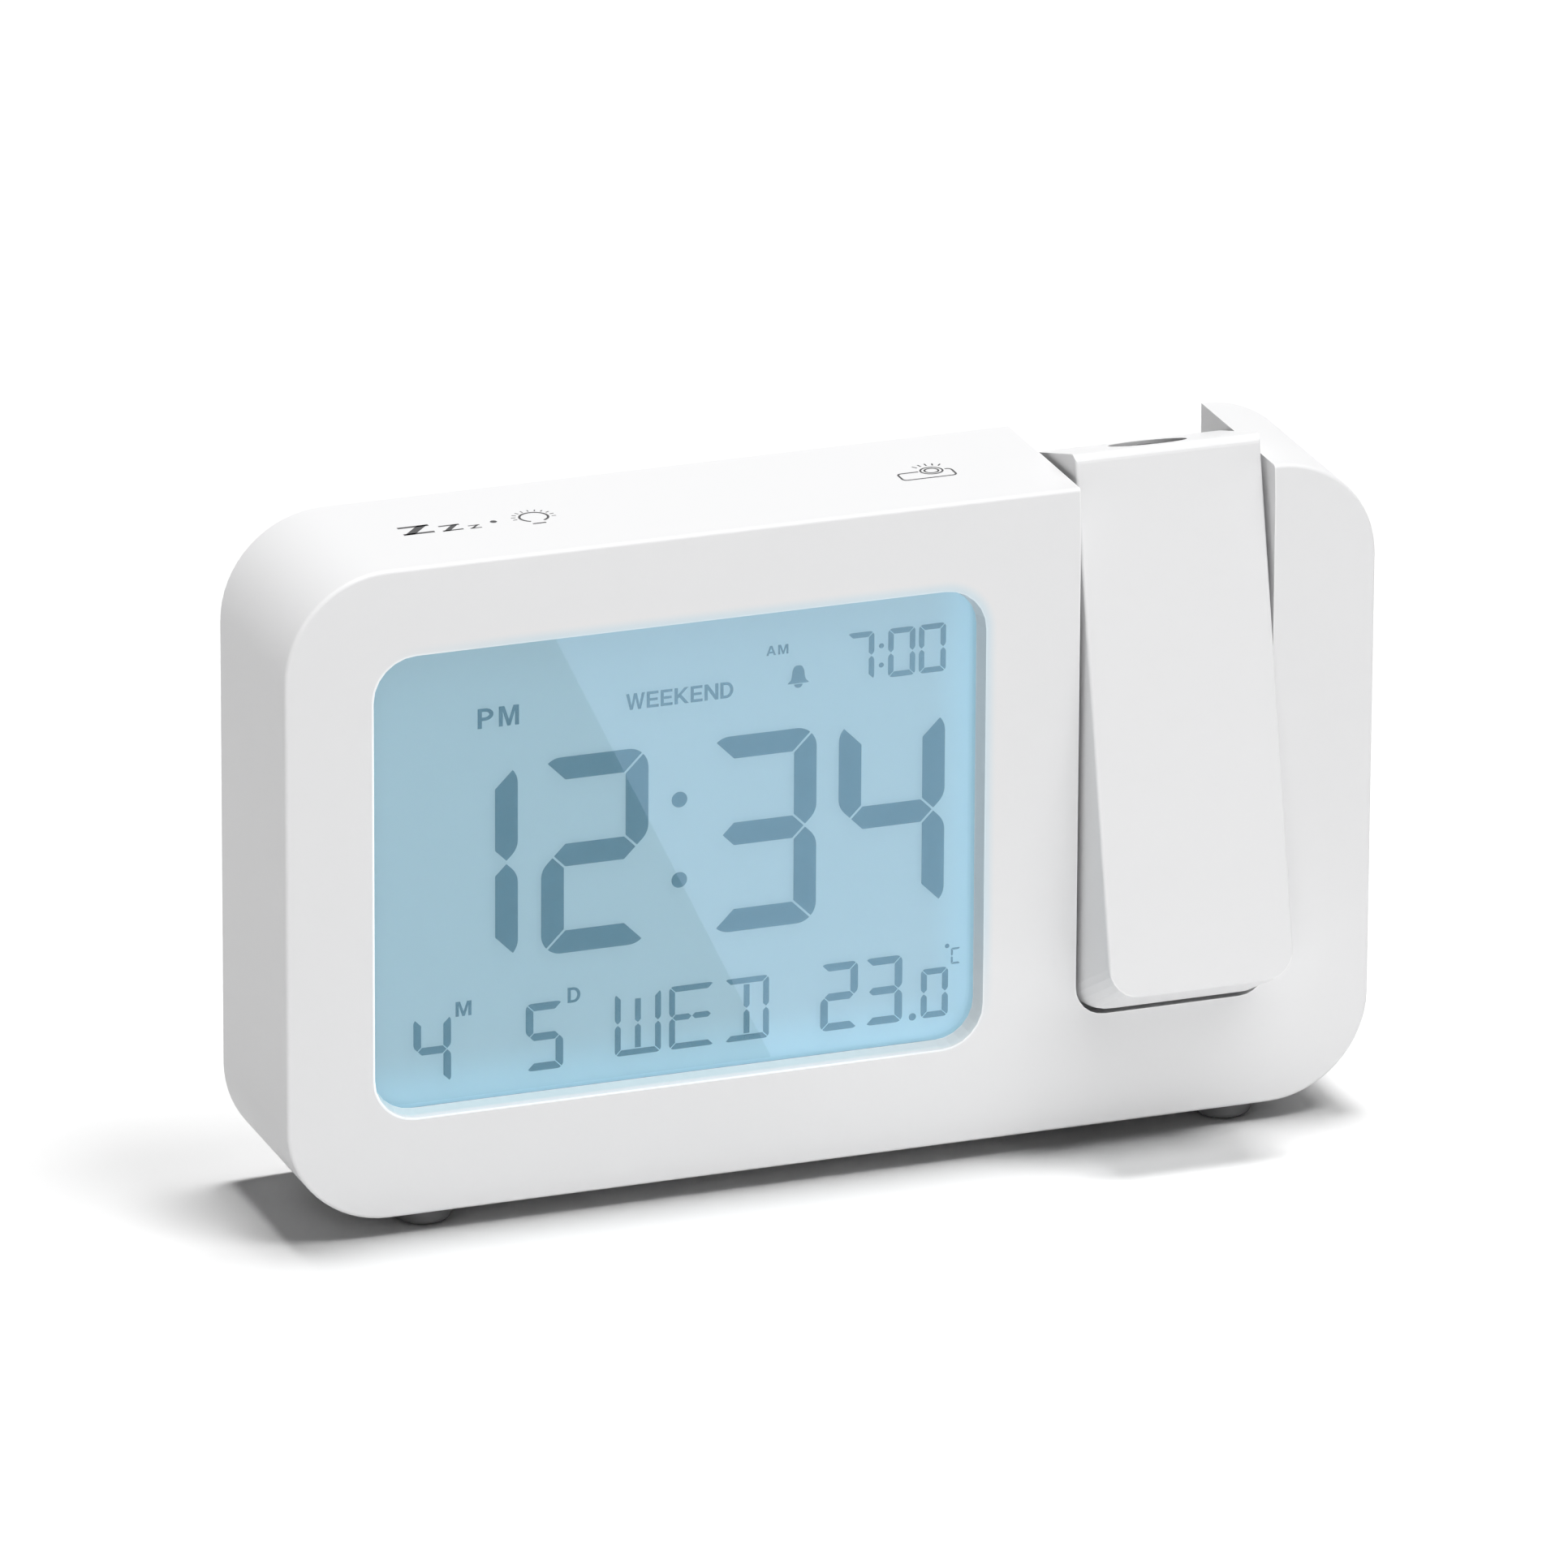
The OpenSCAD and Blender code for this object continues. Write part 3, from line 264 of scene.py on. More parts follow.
def case_material():
    """White moulding, with painted highlights along its edges. Round the window it has painted light that
    stands for the display's light on the case: an emitted glow and a highlight line at the lower left, and a
    bluish tint at the upper right, down to WIN_DEPTH behind the front."""
    m = solid("white_case", (0.86, 0.86, 0.865), 0.42, grain=1500, bump=0.06, shade=0.006, rough_var=0.04)
    t = m.node_tree
    p = t.nodes["Principled BSDF"]

    def step(op, a, b=None):
        n = t.nodes.new("ShaderNodeVectorMath")
        n.operation = op
        t.links.new(a, n.inputs[0])
        if b is not None:
            n.inputs[1].default_value = b
        return n.outputs["Value" if op in ("LENGTH", "DOT_PRODUCT") else "Vector"]

    def ramp(value, start, end):
        n = node(t, "ShaderNodeMapRange", From_Min=start, From_Max=end)
        n.interpolation_type = "SMOOTHSTEP"
        t.links.new(value, n.inputs["Value"])
        return n.outputs["Result"]

    def times(a, b):
        return calc(t, "MULTIPLY", a, b)

    place = t.nodes.new("ShaderNodeTexCoord")
    offset = step("SUBTRACT", place.outputs["Object"], at(WIN_X, 0, WIN_Z))
    inner = ((WIN_W / 2 - WIN_R) * MM, WIN_DEPTH * MM, (WIN_H / 2 - WIN_R) * MM)
    away = step("LENGTH", step("MAXIMUM", step("SUBTRACT", step("ABSOLUTE", offset), inner), (0, 0, 0)))
    inside = ramp(away, (WIN_R + LEDGE_BLUR) * MM, (WIN_R - LEDGE_BLUR) * MM)
    near = ramp(away, (WIN_R + PAINTED_TINT_REACH) * MM, WIN_R * MM)
    rim = times(ramp(away, (WIN_R + RIM_OUT) * MM, (WIN_R + RIM_FULL) * MM),
                ramp(away, (WIN_R - RIM_IN) * MM, WIN_R * MM))
    # Which side of the window's falling diagonal a point is on, blurred a little.
    to_low_left = step("DOT_PRODUCT", offset, (-1 / WIN_W, 0, -1 / WIN_H))
    low_left, high_right = ramp(to_low_left, -0.2 * MM, 0.3 * MM), ramp(to_low_left, 0, -0.3 * MM)
    # Painted light: the case emits a glow inside the window's lower left and a painted highlight line along
    # its rim there.
    glow = blend(t, "MIX", times(inside, low_left), (0, 0, 0), PAINTED_LEDGE_GLOW)
    t.links.new(blend(t, "MIX", times(rim, low_left), glow, PAINTED_RIM_HIGHLIGHT), p.inputs["Emission Color"])
    p.inputs["Emission Strength"].default_value = 1.0
    m.cycles.emission_sampling = "NONE"

    # Painted highlight: where the Bevel node's rounded normal turns from the face's, the base colour is
    # mixed toward white.
    bevel = node(t, "ShaderNodeBevel", Radius=EDGE_HIGHLIGHT_R * MM)
    bevel.samples = 4
    flat = t.nodes.new("ShaderNodeNewGeometry")
    turn = t.nodes.new("ShaderNodeVectorMath")
    turn.operation = "DOT_PRODUCT"
    t.links.new(bevel.outputs["Normal"], turn.inputs[0])
    t.links.new(flat.outputs["Normal"], turn.inputs[1])
    plain = p.inputs["Base Color"].links[0].from_socket
    base = blend(t, "MIX", ramp(turn.outputs["Value"], *EDGE_HIGHLIGHT_TURN), plain, PAINTED_EDGE_HIGHLIGHT)
    # Painted light: the base colour is made bluer near the window's upper right, standing for the display's
    # light on the case.
    t.links.new(blend(t, "MULTIPLY", times(near, high_right), base, PAINTED_DISPLAY_TINT), p.inputs["Base Color"])
    return m


SLOTS = {
    "white_case": case_material(),
    "white_key": solid("white_key", (0.83, 0.83, 0.83), 0.38, grain=1800, bump=0.05, shade=0.01),
    "display_lens": clear("display_lens", (0.98, 0.99, 1.0), 0.015, ior=LENS_IOR, tint=(0.5, 0.72, 1.0)),
    "lcd": None,  # its node is replaced by the film and the front glass
    "diffuser": solid("diffuser", (0.85, 0.87, 0.9), 0.7, grain=2500, bump=0.1, shade=0.02),
    "light_guide": clear("light_guide", (0.93, 0.97, 1.0), 0.05),
    "frame_plastic": solid("frame_plastic", (0.8, 0.81, 0.83), 0.5, shade=0.02),
    "elastomer": solid("elastomer", (0.62, 0.42, 0.44), 0.65, grain=3000, bump=0.2, shade=0.12),
    "lamp": solid("lamp", (0.86, 0.84, 0.62), 0.3, shade=0.06, coat=0.4),
    "board": board_material(),
    "chip": solid("chip", (0.018, 0.018, 0.02), 0.45, grain=2600, bump=0.12, shade=0.1),
    "socket": solid("socket", (0.8, 0.78, 0.72), 0.45, shade=0.04),
    "copper": solid("copper", (0.8, 0.42, 0.25), 0.28, metallic=1.0, grain=600, shade=0.12),
    "switch_metal": solid("switch_metal", (0.6, 0.6, 0.58), 0.3, metallic=1.0, shade=0.06),
    "switch_black": solid("switch_black", (0.02, 0.02, 0.021), 0.4, shade=0.1),
    "ribbon": solid("ribbon", (0.72, 0.73, 0.74), 0.5, grain=1200, bump=0.1, shade=0.05),
    "sensor": solid("sensor", (0.03, 0.03, 0.032), 0.32, shade=0.1, coat=0.3),
    "speaker": solid("speaker", (0.07, 0.07, 0.075), 0.55, grain=700, bump=0.2, shade=0.2),
    "cell": cell_material(),
    "spring_steel": solid("spring_steel", (0.66, 0.65, 0.62), 0.24, metallic=1.0, grain=1400, bump=0.03,
                          shade=0.06),
    "screw": solid("screw", (0.55, 0.55, 0.56), 0.3, metallic=1.0, grain=1600, bump=0.06, shade=0.08),
    "foot_rubber": solid("foot_rubber", (0.13, 0.13, 0.132), 0.42, grain=1300, bump=0.08, shade=0.12),
    "bush": solid("bush", (0.78, 0.78, 0.76), 0.35, shade=0.03),
    "lead": solid("lead", (0.05, 0.05, 0.052), 0.45, grain=1500, shade=0.15),
    "optics_black": solid("optics_black", (0.022, 0.022, 0.024), 0.42, grain=2000, bump=0.1, shade=0.15),
    "optics_glass": clear("optics_glass", (0.96, 0.98, 1.0), 0.01, ior=GLASS_IOR),
    "slide": clear("slide", (0.35, 0.5, 0.75), 0.05),
}

for part in frame["record"]["subparts"]:
    finish = SLOTS[part["material_slot"]]
    mesh = frame["nodes"][part["node"]].data
    if finish:
        mesh.materials.clear()
        mesh.materials.append(finish)


# ---- Display ----
LCD_W, LCD_H = 82.7, 63.5
FILM_SHORT, PANE_EDGE = 3, 0.12
PRINT_Y, GLASS_Y, FILM_Y = 3.43, (3.45, 4.44), (4.45, 5.45)


def place_mesh(name, bm, material):
    """What bm holds, as an object of the scene."""
    mesh = bpy.data.meshes.new(name)
    bm.to_mesh(mesh)
    bm.free()
    ob = bpy.data.objects.new(name, mesh)
    bpy.context.scene.collection.objects.link(ob)
    mesh.materials.append(material)
    return ob


def fixed_piece(name, bm, material, body="housing"):
    ob = place_mesh(name, bm, material)
    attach(ob, body)
    return ob


def pane(name, w, h, y0, y1, material):
    """A flat pane on the window's middle, its edges lightly broken."""
    bm = bmesh.new()
    bmesh.ops.create_cube(bm, size=1)
    lo, hi = at(WIN_X - w / 2, y0, WIN_Z - h / 2), at(WIN_X + w / 2, y1, WIN_Z + h / 2)
    for v in bm.verts:
        v.co = Vector([lo[i] + (v.co[i] + 0.5) * (hi[i] - lo[i]) for i in range(3)])
    bmesh.ops.bevel(bm, geom=bm.edges[:], offset=PANE_EDGE * MM, segments=2, affect="EDGES", profile=0.5)
    return fixed_piece(name, bm, material)


FILM_RIM_X, FILM_RIM_Z, FILM_RIM = 36.2, 25.6, (-3.2, 4.0)
FILM_GRAIN = 2600.0


def matt(p):
    """The film and its elements leave the reflecting to the lens before them."""
    p.inputs["Roughness"].default_value = 0.6
    p.inputs["Specular IOR Level"].default_value = 0.1


def lit_film():
    """The lit film: pale blue, brighter and bluer near its right and lower edges, and finely grained."""
    m, t, p = new_material("lcd_film")
    place = t.nodes.new("ShaderNodeTexCoord")
    axes = t.nodes.new("ShaderNodeSeparateXYZ")
    t.links.new(place.outputs["Object"], axes.inputs["Vector"])
    centre = at(WIN_X, 0, WIN_Z)
    right = calc(t, "SUBTRACT", axes.outputs["X"], centre.x + FILM_RIM_X * MM)
    low = calc(t, "SUBTRACT", centre.z - FILM_RIM_Z * MM, axes.outputs["Z"])
    rim = node(t, "ShaderNodeMapRange", From_Min=FILM_RIM[0] * MM, From_Max=FILM_RIM[1] * MM)
    rim.interpolation_type = "SMOOTHSTEP"
    t.links.new(calc(t, "MAXIMUM", right, low), rim.inputs["Value"])
    grain = node(t, "ShaderNodeTexNoise", Scale=FILM_GRAIN, Detail=2.0, Roughness=0.7)
    t.links.new(place.outputs["Object"], grain.inputs["Vector"])
    tone = blend(t, "MIX", rim.outputs["Result"], FILM, FILM_EDGE)
    speck = blend(t, "MULTIPLY", 0.07, tone, grain.outputs["Color"])
    t.links.new(blend(t, "MIX", FILM_DULL, speck, (0, 0, 0)), p.inputs["Base Color"])
    t.links.new(speck, p.inputs["Emission Color"])
    p.inputs["Emission Strength"].default_value = FILM_GLOW
    matt(p)
    return m


def ink(name, color, alpha):
    """A dark element of the display: it tints what is behind it and shades it from the lamps."""
    m, t, p = new_material(name)
    place = t.nodes.new("ShaderNodeTexCoord")
    grain = node(t, "ShaderNodeTexNoise", Scale=FILM_GRAIN, Detail=2.0, Roughness=0.7)
    t.links.new(place.outputs["Object"], grain.inputs["Vector"])
    dark, pale = [c * 0.93 for c in color], [c * 1.07 for c in color]
    t.links.new(blend(t, "MIX", grain.outputs["Fac"], dark, pale), p.inputs["Base Color"])
    p.inputs["Alpha"].default_value = alpha
    matt(p)
    return m


FILM, FILM_EDGE = (0.23, 0.355, 0.425), (0.25, 0.425, 0.53)
FILM_GLOW, FILM_DULL = 1.15, 0.6
INK = ink("lcd_ink", (0.04, 0.155, 0.225), 0.8)
INK_FAINT = ink("lcd_ink_small", (0.04, 0.155, 0.225), 0.72)
ARC_STEPS, CORNER_STEPS, SHOULDER_STEPS = 40, 7, 6
MERGE = 0.002


class Flat:
    """Flat shapes drawn in mm on one plane of the clock, gathered into one mesh."""

    def __init__(self, spot):
        self.bm = bmesh.new()
        self.spot = spot

    def poly(self, pts):
        area = sum(a[0] * b[1] - b[0] * a[1] for a, b in zip(pts, pts[1:] + pts[:1]))
        if area < 0:
            pts = pts[::-1]
        self.bm.faces.new([self.bm.verts.new(self.spot(*p)) for p in pts])

    def disc(self, x, y, r, steps=28):
        self.poly([(x + r * math.cos(2 * math.pi * i / steps), y + r * math.sin(2 * math.pi * i / steps))
                   for i in range(steps)])

    def line(self, pts, w, closed=False):
        """A stroke of even width along pts, mitred at its corners."""
        n = len(pts)
        sides = []
        for i, p in enumerate(pts):
            before = pts[i - 1] if i or closed else None
            after = pts[(i + 1) % n] if i < n - 1 or closed else None
            normals = []
            for a, b in ((before, p), (p, after)):
                if a is not None and b is not None:
                    d = math.dist(a, b)
                    normals.append(((a[1] - b[1]) / d, (b[0] - a[0]) / d))
            nx, ny = sum(q[0] for q in normals), sum(q[1] for q in normals)
            k = w / 2 * len(normals) / (nx * nx + ny * ny)
            sides.append(((p[0] + nx * k, p[1] + ny * k), (p[0] - nx * k, p[1] - ny * k)))
        for i in range(n if closed else n - 1):
            (a, b), (c, d) = sides[i], sides[(i + 1) % n]
            self.poly([a, b, d, c])

    def arc(self, x, y, rx, ry, start, end, w):
        turn = [math.radians(start + (end - start) * i / ARC_STEPS) for i in range(ARC_STEPS + 1)]
        closed = abs(end - start) >= 360
        pts = [(x + rx * math.cos(a), y + ry * math.sin(a)) for a in turn]
        self.line(pts[:-1] if closed else pts, w, closed)

    def done(self, name, material):
        bmesh.ops.remove_doubles(self.bm, verts=self.bm.verts[:], dist=MERGE * MM)
        return fixed_piece(name, self.bm, material)


def segments(draw, x, z, w, h, t, e, r, lit):
    """One cell of a display: a..g of seven segments, m n the split middle bar, u v the centre posts."""
    mid, turn = h / 2, math.degrees(math.asin(e / (r * math.sqrt(2))))

    def corner(flip_x, flip_z, start, end):
        pts = []
        for i in range(CORNER_STEPS + 1):
            a = math.radians(start + (end - start) * i / CORNER_STEPS)
            px, pz = r - r * math.cos(a), h - r + r * math.sin(a)
            pts.append((w - px if flip_x else px, h - pz if flip_z else pz))
        return pts

    def put(pts):
        draw.poly([(x + px, z + pz) for px, pz in pts])

    def bar(flip_z):
        pts = corner(False, flip_z, 45 + turn, 90) + corner(True, flip_z, 90, 45 + turn)
        level = t if flip_z else h - t
        return pts + [(w - t - e, level), (t + e, level)]

    def post(flip_x, flip_z):
        """An upright, from its mitred outer corner to its point at half height."""
        pts = corner(flip_x, flip_z, 45 - turn, 0)
        run = t / 2 - r * (1 - math.cos(math.radians(45)))
        tip = mid + e
        start = tip + run + r * math.sin(math.radians(45))
        shoulder = []
        for i in range(SHOULDER_STEPS + 1):
            a = math.radians(45 * i / SHOULDER_STEPS)
            shoulder.append((r - r * math.cos(a), start - r * math.sin(a)))
        inner = [(t / 2, tip), (t, tip + t / 2), (t, h - t - e)]
        rest = shoulder + inner
        return pts + [(w - a if flip_x else a, h - b if flip_z else b) for a, b in rest]

    def centre_post(flip_z):
        c = w / 2
        pts = [(c - t / 2, mid + t / 2 + e), (c, mid + e), (c + t / 2, mid + t / 2 + e),
               (c + t / 2, h - t - 2 * e), (c - t / 2, h - t - 2 * e)]
        return [(a, h - b if flip_z else b) for a, b in pts]

    def middle(left, right):
        return [(left, mid), (left + t / 2, mid + t / 2), (right - t / 2, mid + t / 2), (right, mid),
                (right - t / 2, mid - t / 2), (left + t / 2, mid - t / 2)]

    shapes = {
        "a": lambda: bar(False), "d": lambda: bar(True),
        "f": lambda: post(False, False), "e": lambda: post(False, True),
        "b": lambda: post(True, False), "c": lambda: post(True, True),
        "g": lambda: middle(t / 2 + e, w - t / 2 - e),
        "m": lambda: middle(t / 2 + e, w / 2 - e / 2), "n": lambda: middle(w / 2 + e / 2, w - t / 2 - e),
        "u": lambda: centre_post(False), "v": lambda: centre_post(True),
    }
    for k in lit:
        put(shapes[k]())


DIGIT = {"0": "abcdef", "1": "bc", "2": "abged", "3": "abgcd", "4": "fgbc", "5": "afgcd", "7": "abc",
         "W": "febcduv", "E": "afedmn", "D": "abcduv", "C": "afed"}


def lcd_place(x, z):
    return at(x, PRINT_Y, z)


# Bold capitals as outlines in a unit box, with each one's width against its height.
E_OUT = [(0, 0), (1, 0), (1, .17), (.26, .17), (.26, .42), (.92, .42), (.92, .58), (.26, .58), (.26, .83),
         (.98, .83), (.98, 1), (0, 1)]
HALF_A = [(0, 0), (.38, 1), (.5, 1), (.5, .76), (.37, .4), (.5, .4), (.5, .22), (.3, .22), (.23, 0)]


def bowl(stem, low, high, t):
    """The round side of a D or P, from its stem and back."""
    r, mid = (high - low) / 2, (high + low) / 2
    turn = [math.radians(15 * i) for i in range(13)]
    outer = [(.45 + .55 * math.sin(a), mid - r * math.cos(a)) for a in turn]
    inner = [(.42 + (.58 - stem) * math.sin(a), mid + (r - t) * math.cos(a)) for a in turn]
    return [(stem, low)] + outer + [(stem, high), (stem, high - t)] + inner + [(stem, low + t)]


def rect(x0, y0, x1, y1):
    return [(x0, y0), (x1, y0), (x1, y1), (x0, y1)]


GLYPHS = {
    "A": (.78, [HALF_A, [(1 - x, y) for x, y in HALF_A]]),
    "D": (.7, [rect(0, 0, .25, 1), bowl(.25, 0, 1, .17)]),
    "E": (.64, [E_OUT]),
    "K": (.76, [[(0, 0), (0, 1), (.24, 1), (.24, .58), (.7, 1), (.98, 1), (.48, .56), (1, 0), (.72, 0),
                 (.33, .42), (.24, .33), (.24, 0)]]),
    "M": (.84, [[(0, 0), (0, 1), (.28, 1), (.5, .32), (.72, 1), (1, 1), (1, 0), (.8, 0), (.8, .72), (.58, 0),
                 (.42, 0), (.2, .72), (.2, 0)]]),
    "N": (.74, [[(0, 0), (0, 1), (.24, 1), (.77, .34), (.77, 1), (1, 1), (1, 0), (.76, 0), (.23, .66),
                 (.23, 0)]]),
    "P": (.66, [rect(0, 0, .27, 1), bowl(.27, .38, 1, .17)]),
    "W": (1.0, [[(0, 1), (.16, 1), (.29, .27), (.42, 1), (.58, 1), (.71, .27), (.84, 1), (1, 1), (.79, 0),
                 (.64, 0), (.5, .7), (.36, 0), (.21, 0)]]),
}


def letters(name, text, x0, x1, z0, z1, material, gap=0.1):
    """Plain capitals that fill x0..x1 and z0..z1, in mm."""
    draw = Flat(lcd_place)
    full = sum(GLYPHS[c][0] for c in text) + gap * (len(text) - 1)
    k, x = (x1 - x0) / full, x0
    for c in text:
        wide, shapes = GLYPHS[c]
        for shape in shapes:
            draw.poly([(x + px * wide * k, z0 + pz * (z1 - z0)) for px, pz in shape])
        x += (wide + gap) * k
    return draw.done(name, material)


def make_display():
    film = pane("lcd_film", LCD_W, LCD_H - FILM_SHORT, *FILM_Y, lit_film())
    glass_look = clear("lcd_glass", (0.99, 1.0, 1.0), 0.02, ior=LCD_GLASS_IOR)
    glass = pane("lcd_front_glass", LCD_W, LCD_H, *GLASS_Y, glass_look)
    for ob in (film, glass):
        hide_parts("lcd_glass")

    time = Flat(lcd_place)
    big = dict(w=13.9, h=25.6, t=2.95, e=0.2, r=2.6)
    for x, d in ((16.8, "1"), (33.7, "2"), (55.6, "3"), (72.4, "4")):
        segments(time, x, 30.85, lit=DIGIT[d], **big)
    for z in (49.03, 38.53):
        time.disc(51.64, z, 1.02)
    time.done("lcd_time", INK)

    alarm = Flat(lcd_place)
    for x, d in ((73.4, "7"), (78.76, "0"), (82.78, "0")):
        segments(alarm, x, 61.6, w=3.55, h=6.35, t=0.72, e=0.06, r=0.62, lit=DIGIT[d])
    for z in (65.86, 63.35):
        alarm.disc(77.88, z, 0.33, 16)
    bell_x = 67.05
    half = [(0.22, 64.62), (0.5, 64.5), (0.78, 63.95), (0.84, 63.2), (1.0, 62.72), (1.35, 62.42),
            (1.35, 62.3)]
    alarm.poly([(bell_x - a, z) for a, z in half[::-1]] + [(bell_x + a, z) for a, z in half])
    alarm.poly([(bell_x + 0.55 * math.cos(a), 62.2 + 0.5 * math.sin(a))
                for a in [math.pi + math.pi * i / 10 for i in range(11)]])
    alarm.done("lcd_alarm", INK_FAINT)

    date = Flat(lcd_place)
    for x, d in ((17.16, "4"), (31.7, "5")):
        segments(date, x, 15.84, w=4.87, h=8.87, t=1.0, e=0.08, r=0.85, lit=DIGIT[d])
    for x, w, d in ((43.29, 6.02, "W"), (50.37, 5.92, "E"), (57.57, 5.86, "D")):
        segments(date, x, 16.3, w=w, h=8.3, t=0.77, e=0.08, r=0.66, lit=DIGIT[d])
    for x, d in ((70.17, "2"), (76.0, "3")):
        segments(date, x, 16.1, w=4.94, h=8.85, t=1.0, e=0.08, r=0.85, lit=DIGIT[d])
    segments(date, 83.4, 16.13, w=3.59, h=6.5, t=0.8, e=0.07, r=0.68, lit=DIGIT["0"])
    segments(date, 87.34, 22.85, w=1.26, h=2.15, t=0.25, e=0.03, r=0.2, lit=DIGIT["C"])
    date.disc(82.32, 16.52, 0.48, 20)
    date.disc(86.83, 25.33, 0.3, 14)
    date.done("lcd_date", INK)

    letters("lcd_pm", "PM", 25.53, 30.86, 61.42, 64.02, INK, 0.22)
    letters("lcd_weekend", "WEEKEND", 44.68, 58.6, 61.5, 63.6, INK_FAINT)
    letters("lcd_am", "AM", 62.87, 65.74, 66.35, 67.6, INK_FAINT, 0.18)
    letters("lcd_month_mark", "M", 22.62, 24.68, 24.28, 26.22, INK)
    letters("lcd_day_mark", "D", 37.14, 38.81, 24.2, 26.2, INK)


make_display()

# ---- Marks on the top ----
MARK = solid("mark_ink", (0.035, 0.035, 0.037), 0.5, grain=2500, bump=0.03, shade=0.15)
MARK_LIFT = 0.015


def top_place(x, y):
    return at(x, y, BODY_H + MARK_LIFT)


def make_marks():
    snooze = Flat(top_place)

    def zed(x0, x1, y0, y1, thin, thick):
        snooze.line([(x0, y1 - thin / 2), (x1, y1 - thin / 2)], thin)
        snooze.line([(x0, y0 + thin / 2), (x1, y0 + thin / 2)], thin)
        snooze.poly([(x1 - thick, y1), (x1, y1), (x0 + thick, y0), (x0, y0)])

    zed(19.2, 23.17, 11.66, 14.6, 0.5, 1.35)
    zed(24.15, 26.8, 11.47, 13.56, 0.34, 0.85)
    zed(27.62, 29.1, 11.35, 12.53, 0.22, 0.4)
    snooze.disc(31.06, 12.87, 0.43)
    cx, cy = 36.25, 12.85
    snooze.arc(cx, cy, 1.78, 1.62, -62, 242, 0.3)
    snooze.line([(35.35, 10.55), (37.05, 10.55)], 0.32)
    for i in range(11):
        a = math.radians(-8 + 196 * i / 10)
        snooze.line([(cx + 2.25 * math.cos(a), cy + 2.05 * math.sin(a)),
                     (cx + 2.8 * math.cos(a), cy + 2.55 * math.sin(a))], 0.16)
    snooze.done("mark_snooze_light", MARK)

    beam = Flat(top_place)
    x0, x1, y0, y1, r = 83.4, 90.4, 10.22, 12.68, 0.55
    path = [(86.2, y1)]
    corners = ((x0 + r, y1 - r, 90), (x0 + r, y0 + r, 180), (x1 - r, y0 + r, 270), (x1 - r, y1 - r, 0))
    for px, py, start in corners:
        turn = [math.radians(start + 15 * i) for i in range(7)]
        path += [(px + r * math.cos(a), py + r * math.sin(a)) for a in turn]
    beam.line(path + [(89.65, y1)], 0.26)
    beam.arc(87.9, 12.6, 1.4, 1.22, 0, 360, 0.24)
    beam.arc(87.9, 12.6, 0.88, 0.78, 0, 360, 0.24)
    for a, b in (((86.54, 14.04), (86.1, 14.62)), ((87.17, 14.35), (86.97, 15.05)),
                 ((87.93, 14.45), (87.9, 15.2)), ((88.68, 14.32), (88.85, 15.0)),
                 ((89.33, 14.02), (89.75, 14.56))):
        beam.line([a, b], 0.2)
    beam.done("mark_projector", MARK)


make_marks()


# ---- Floor, lamps and surroundings ----
def ray_gate(t):
    """1 for rays that see the surroundings: the camera's, reflections and what glass lets through.
    Light that has already left a matt surface gets 0, so that it isn't lit by the bright background."""
    path = t.nodes.new("ShaderNodeLightPath")
    mirrored = calc(t, "ADD", path.outputs["Is Glossy Ray"], path.outputs["Is Transmission Ray"], True)
    sees = calc(t, "ADD", path.outputs["Is Camera Ray"], mirrored, True)
    direct = calc(t, "LESS_THAN", path.outputs["Diffuse Depth"], 0.5, True)
    return calc(t, "MULTIPLY", sees, direct, True)


def make_floor():
    bm = bmesh.new()
    bmesh.ops.create_grid(bm, x_segments=2, y_segments=2, size=FLOOR_SIZE)
    m = bpy.data.materials.new("floor")
    m.use_nodes = True
    t = m.node_tree
    t.nodes.remove(t.nodes["Principled BSDF"])
    plain = node(t, "ShaderNodeBsdfDiffuse", Color=(FLOOR, FLOOR, FLOOR, 1))
    seen = node(t, "ShaderNodeBsdfDiffuse", Color=(FLOOR_SEEN, FLOOR_SEEN, FLOOR_SEEN, 1))
    mix = t.nodes.new("ShaderNodeMixShader")
    t.links.new(ray_gate(t), mix.inputs["Fac"])
    t.links.new(plain.outputs["BSDF"], mix.inputs[1])
    t.links.new(seen.outputs["BSDF"], mix.inputs[2])
    t.links.new(mix.outputs["Shader"], t.nodes["Material Output"].inputs["Surface"])
    floor = place_mesh("floor", bm, m)


def make_world():
    world = bpy.data.worlds.new("studio")
    bpy.context.scene.world = world
    world.use_nodes = True
    t = world.node_tree
    back = t.nodes["Background"]
    level = node(t, "ShaderNodeMapRange", To_Min=AMBIENT, To_Max=1.0)
    t.links.new(ray_gate(t), level.inputs["Value"])
    t.links.new(level.outputs["Result"], back.inputs["Strength"])
    back.inputs["Color"].default_value = (1, 1, 1, 1)


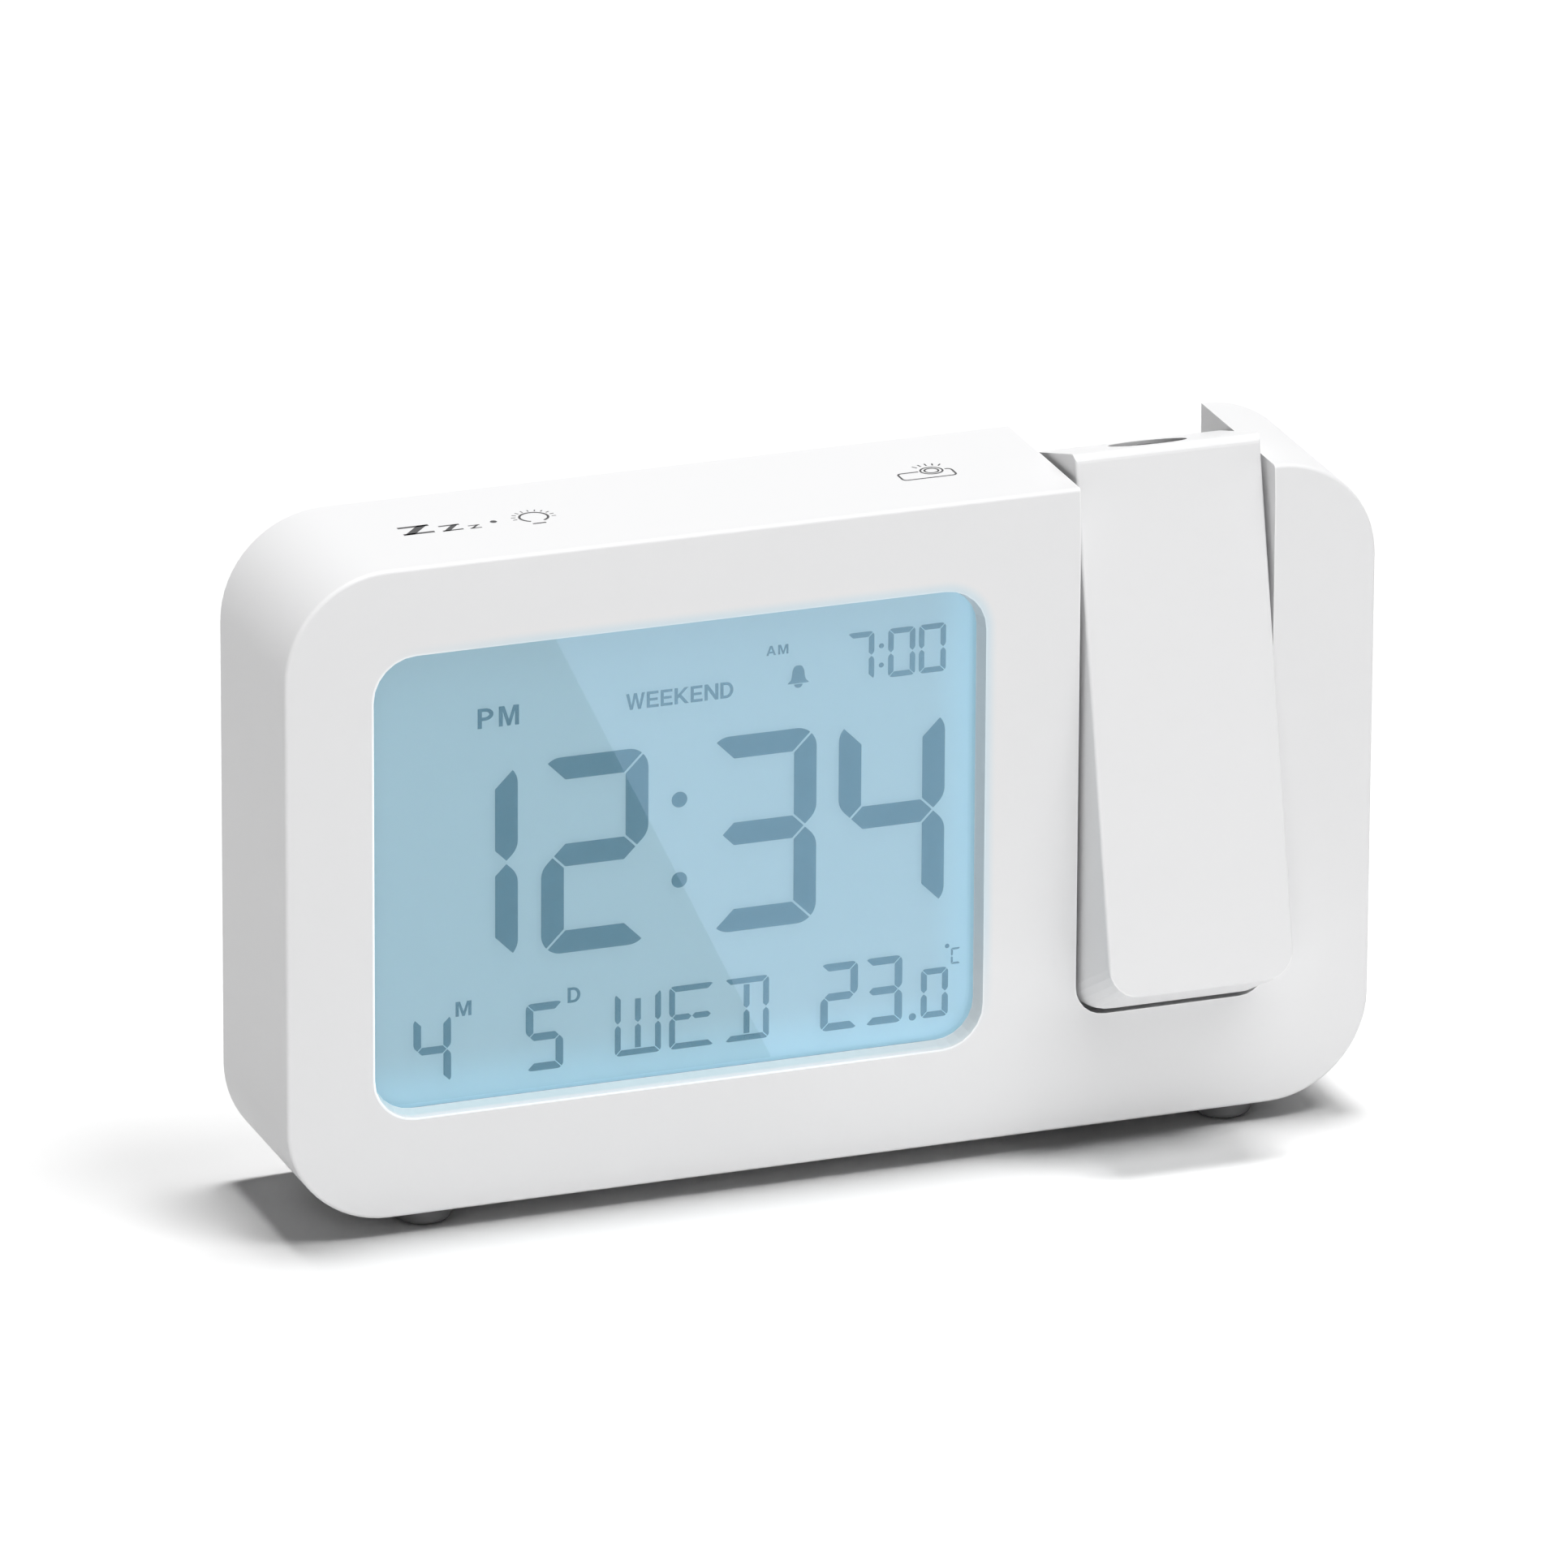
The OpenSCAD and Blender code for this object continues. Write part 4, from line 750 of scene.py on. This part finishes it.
def receivers():
    """The floor, and all that the clock is made of, so that each can have lamps of its own."""
    floor, clock = bpy.data.collections.new("lit_floor"), bpy.data.collections.new("lit_clock")
    for ob in bpy.context.scene.objects:
        if ob.type == "MESH" and ob.name != "flag":
            (floor if ob.name == "floor" else clock).objects.link(ob)
    return floor, clock


def sun(name, azimuth, elevation, strength, spread, group):
    """Light from azimuth (0 = in front, 90 = the right side) and elevation, in degrees."""
    data = bpy.data.lights.new(name, "SUN")
    data.energy = strength
    data.angle = math.radians(spread)
    ob = bpy.data.objects.new(name, data)
    bpy.context.scene.collection.objects.link(ob)
    ob.light_linking.receiver_collection = group
    a, e = math.radians(azimuth), math.radians(elevation)
    source = Vector((math.sin(a) * math.cos(e), -math.cos(a) * math.cos(e), math.sin(e)))
    ob.rotation_euler = source.to_track_quat("Z", "Y").to_euler()


def make_flag():
    """A black card before the clock, seen only in reflections. Its edge is the slanting line on the lens."""
    bm = bmesh.new()
    corners = [(102.5, -192.7), (74.0, -21.3), (-60, -21.3), (-90, -192.7), (-20, -260), (113.7, -260)]
    bm.faces.new([bm.verts.new(at(x, y - FRONT_Y, FLAG_LIFT - FOOT_H)) for x, y in corners])
    flag = place_mesh("flag", bm, solid("flag_cloth", (0.01, 0.01, 0.01), 0.9))
    for rays in ("camera", "diffuse", "shadow", "transmission"):
        setattr(flag, "visible_" + rays, False)


FLOOR, FLOOR_SEEN, FLOOR_SIZE, FLAG_LIFT = 0.78, 1.0, 6, 0.4
AMBIENT = 0.04
# Each lamp's name, azimuth, elevation, strength and spread.
CLOCK_LAMPS = (
    ("key", 185, 80, 2.0, 14),
    ("front_top", 20, 58, 1.45, 50),
    ("front_left", -20, 7, 0.64, 30),
    ("front", 0, 4, 0.22, 20),
)
FLOOR_LAMPS = (
    ("floor_front", 185, 85, 1.25, 10),
    ("floor_side", 115, 81, 1.1, 12),
    ("floor_fill", 45, 68, 1.08, 20),
)
make_floor()
make_flag()
make_world()
FLOOR_ONLY, CLOCK_ONLY = receivers()
for lamps, group in ((CLOCK_LAMPS, CLOCK_ONLY), (FLOOR_LAMPS, FLOOR_ONLY)):
    for lamp in lamps:
        sun(*lamp, group)
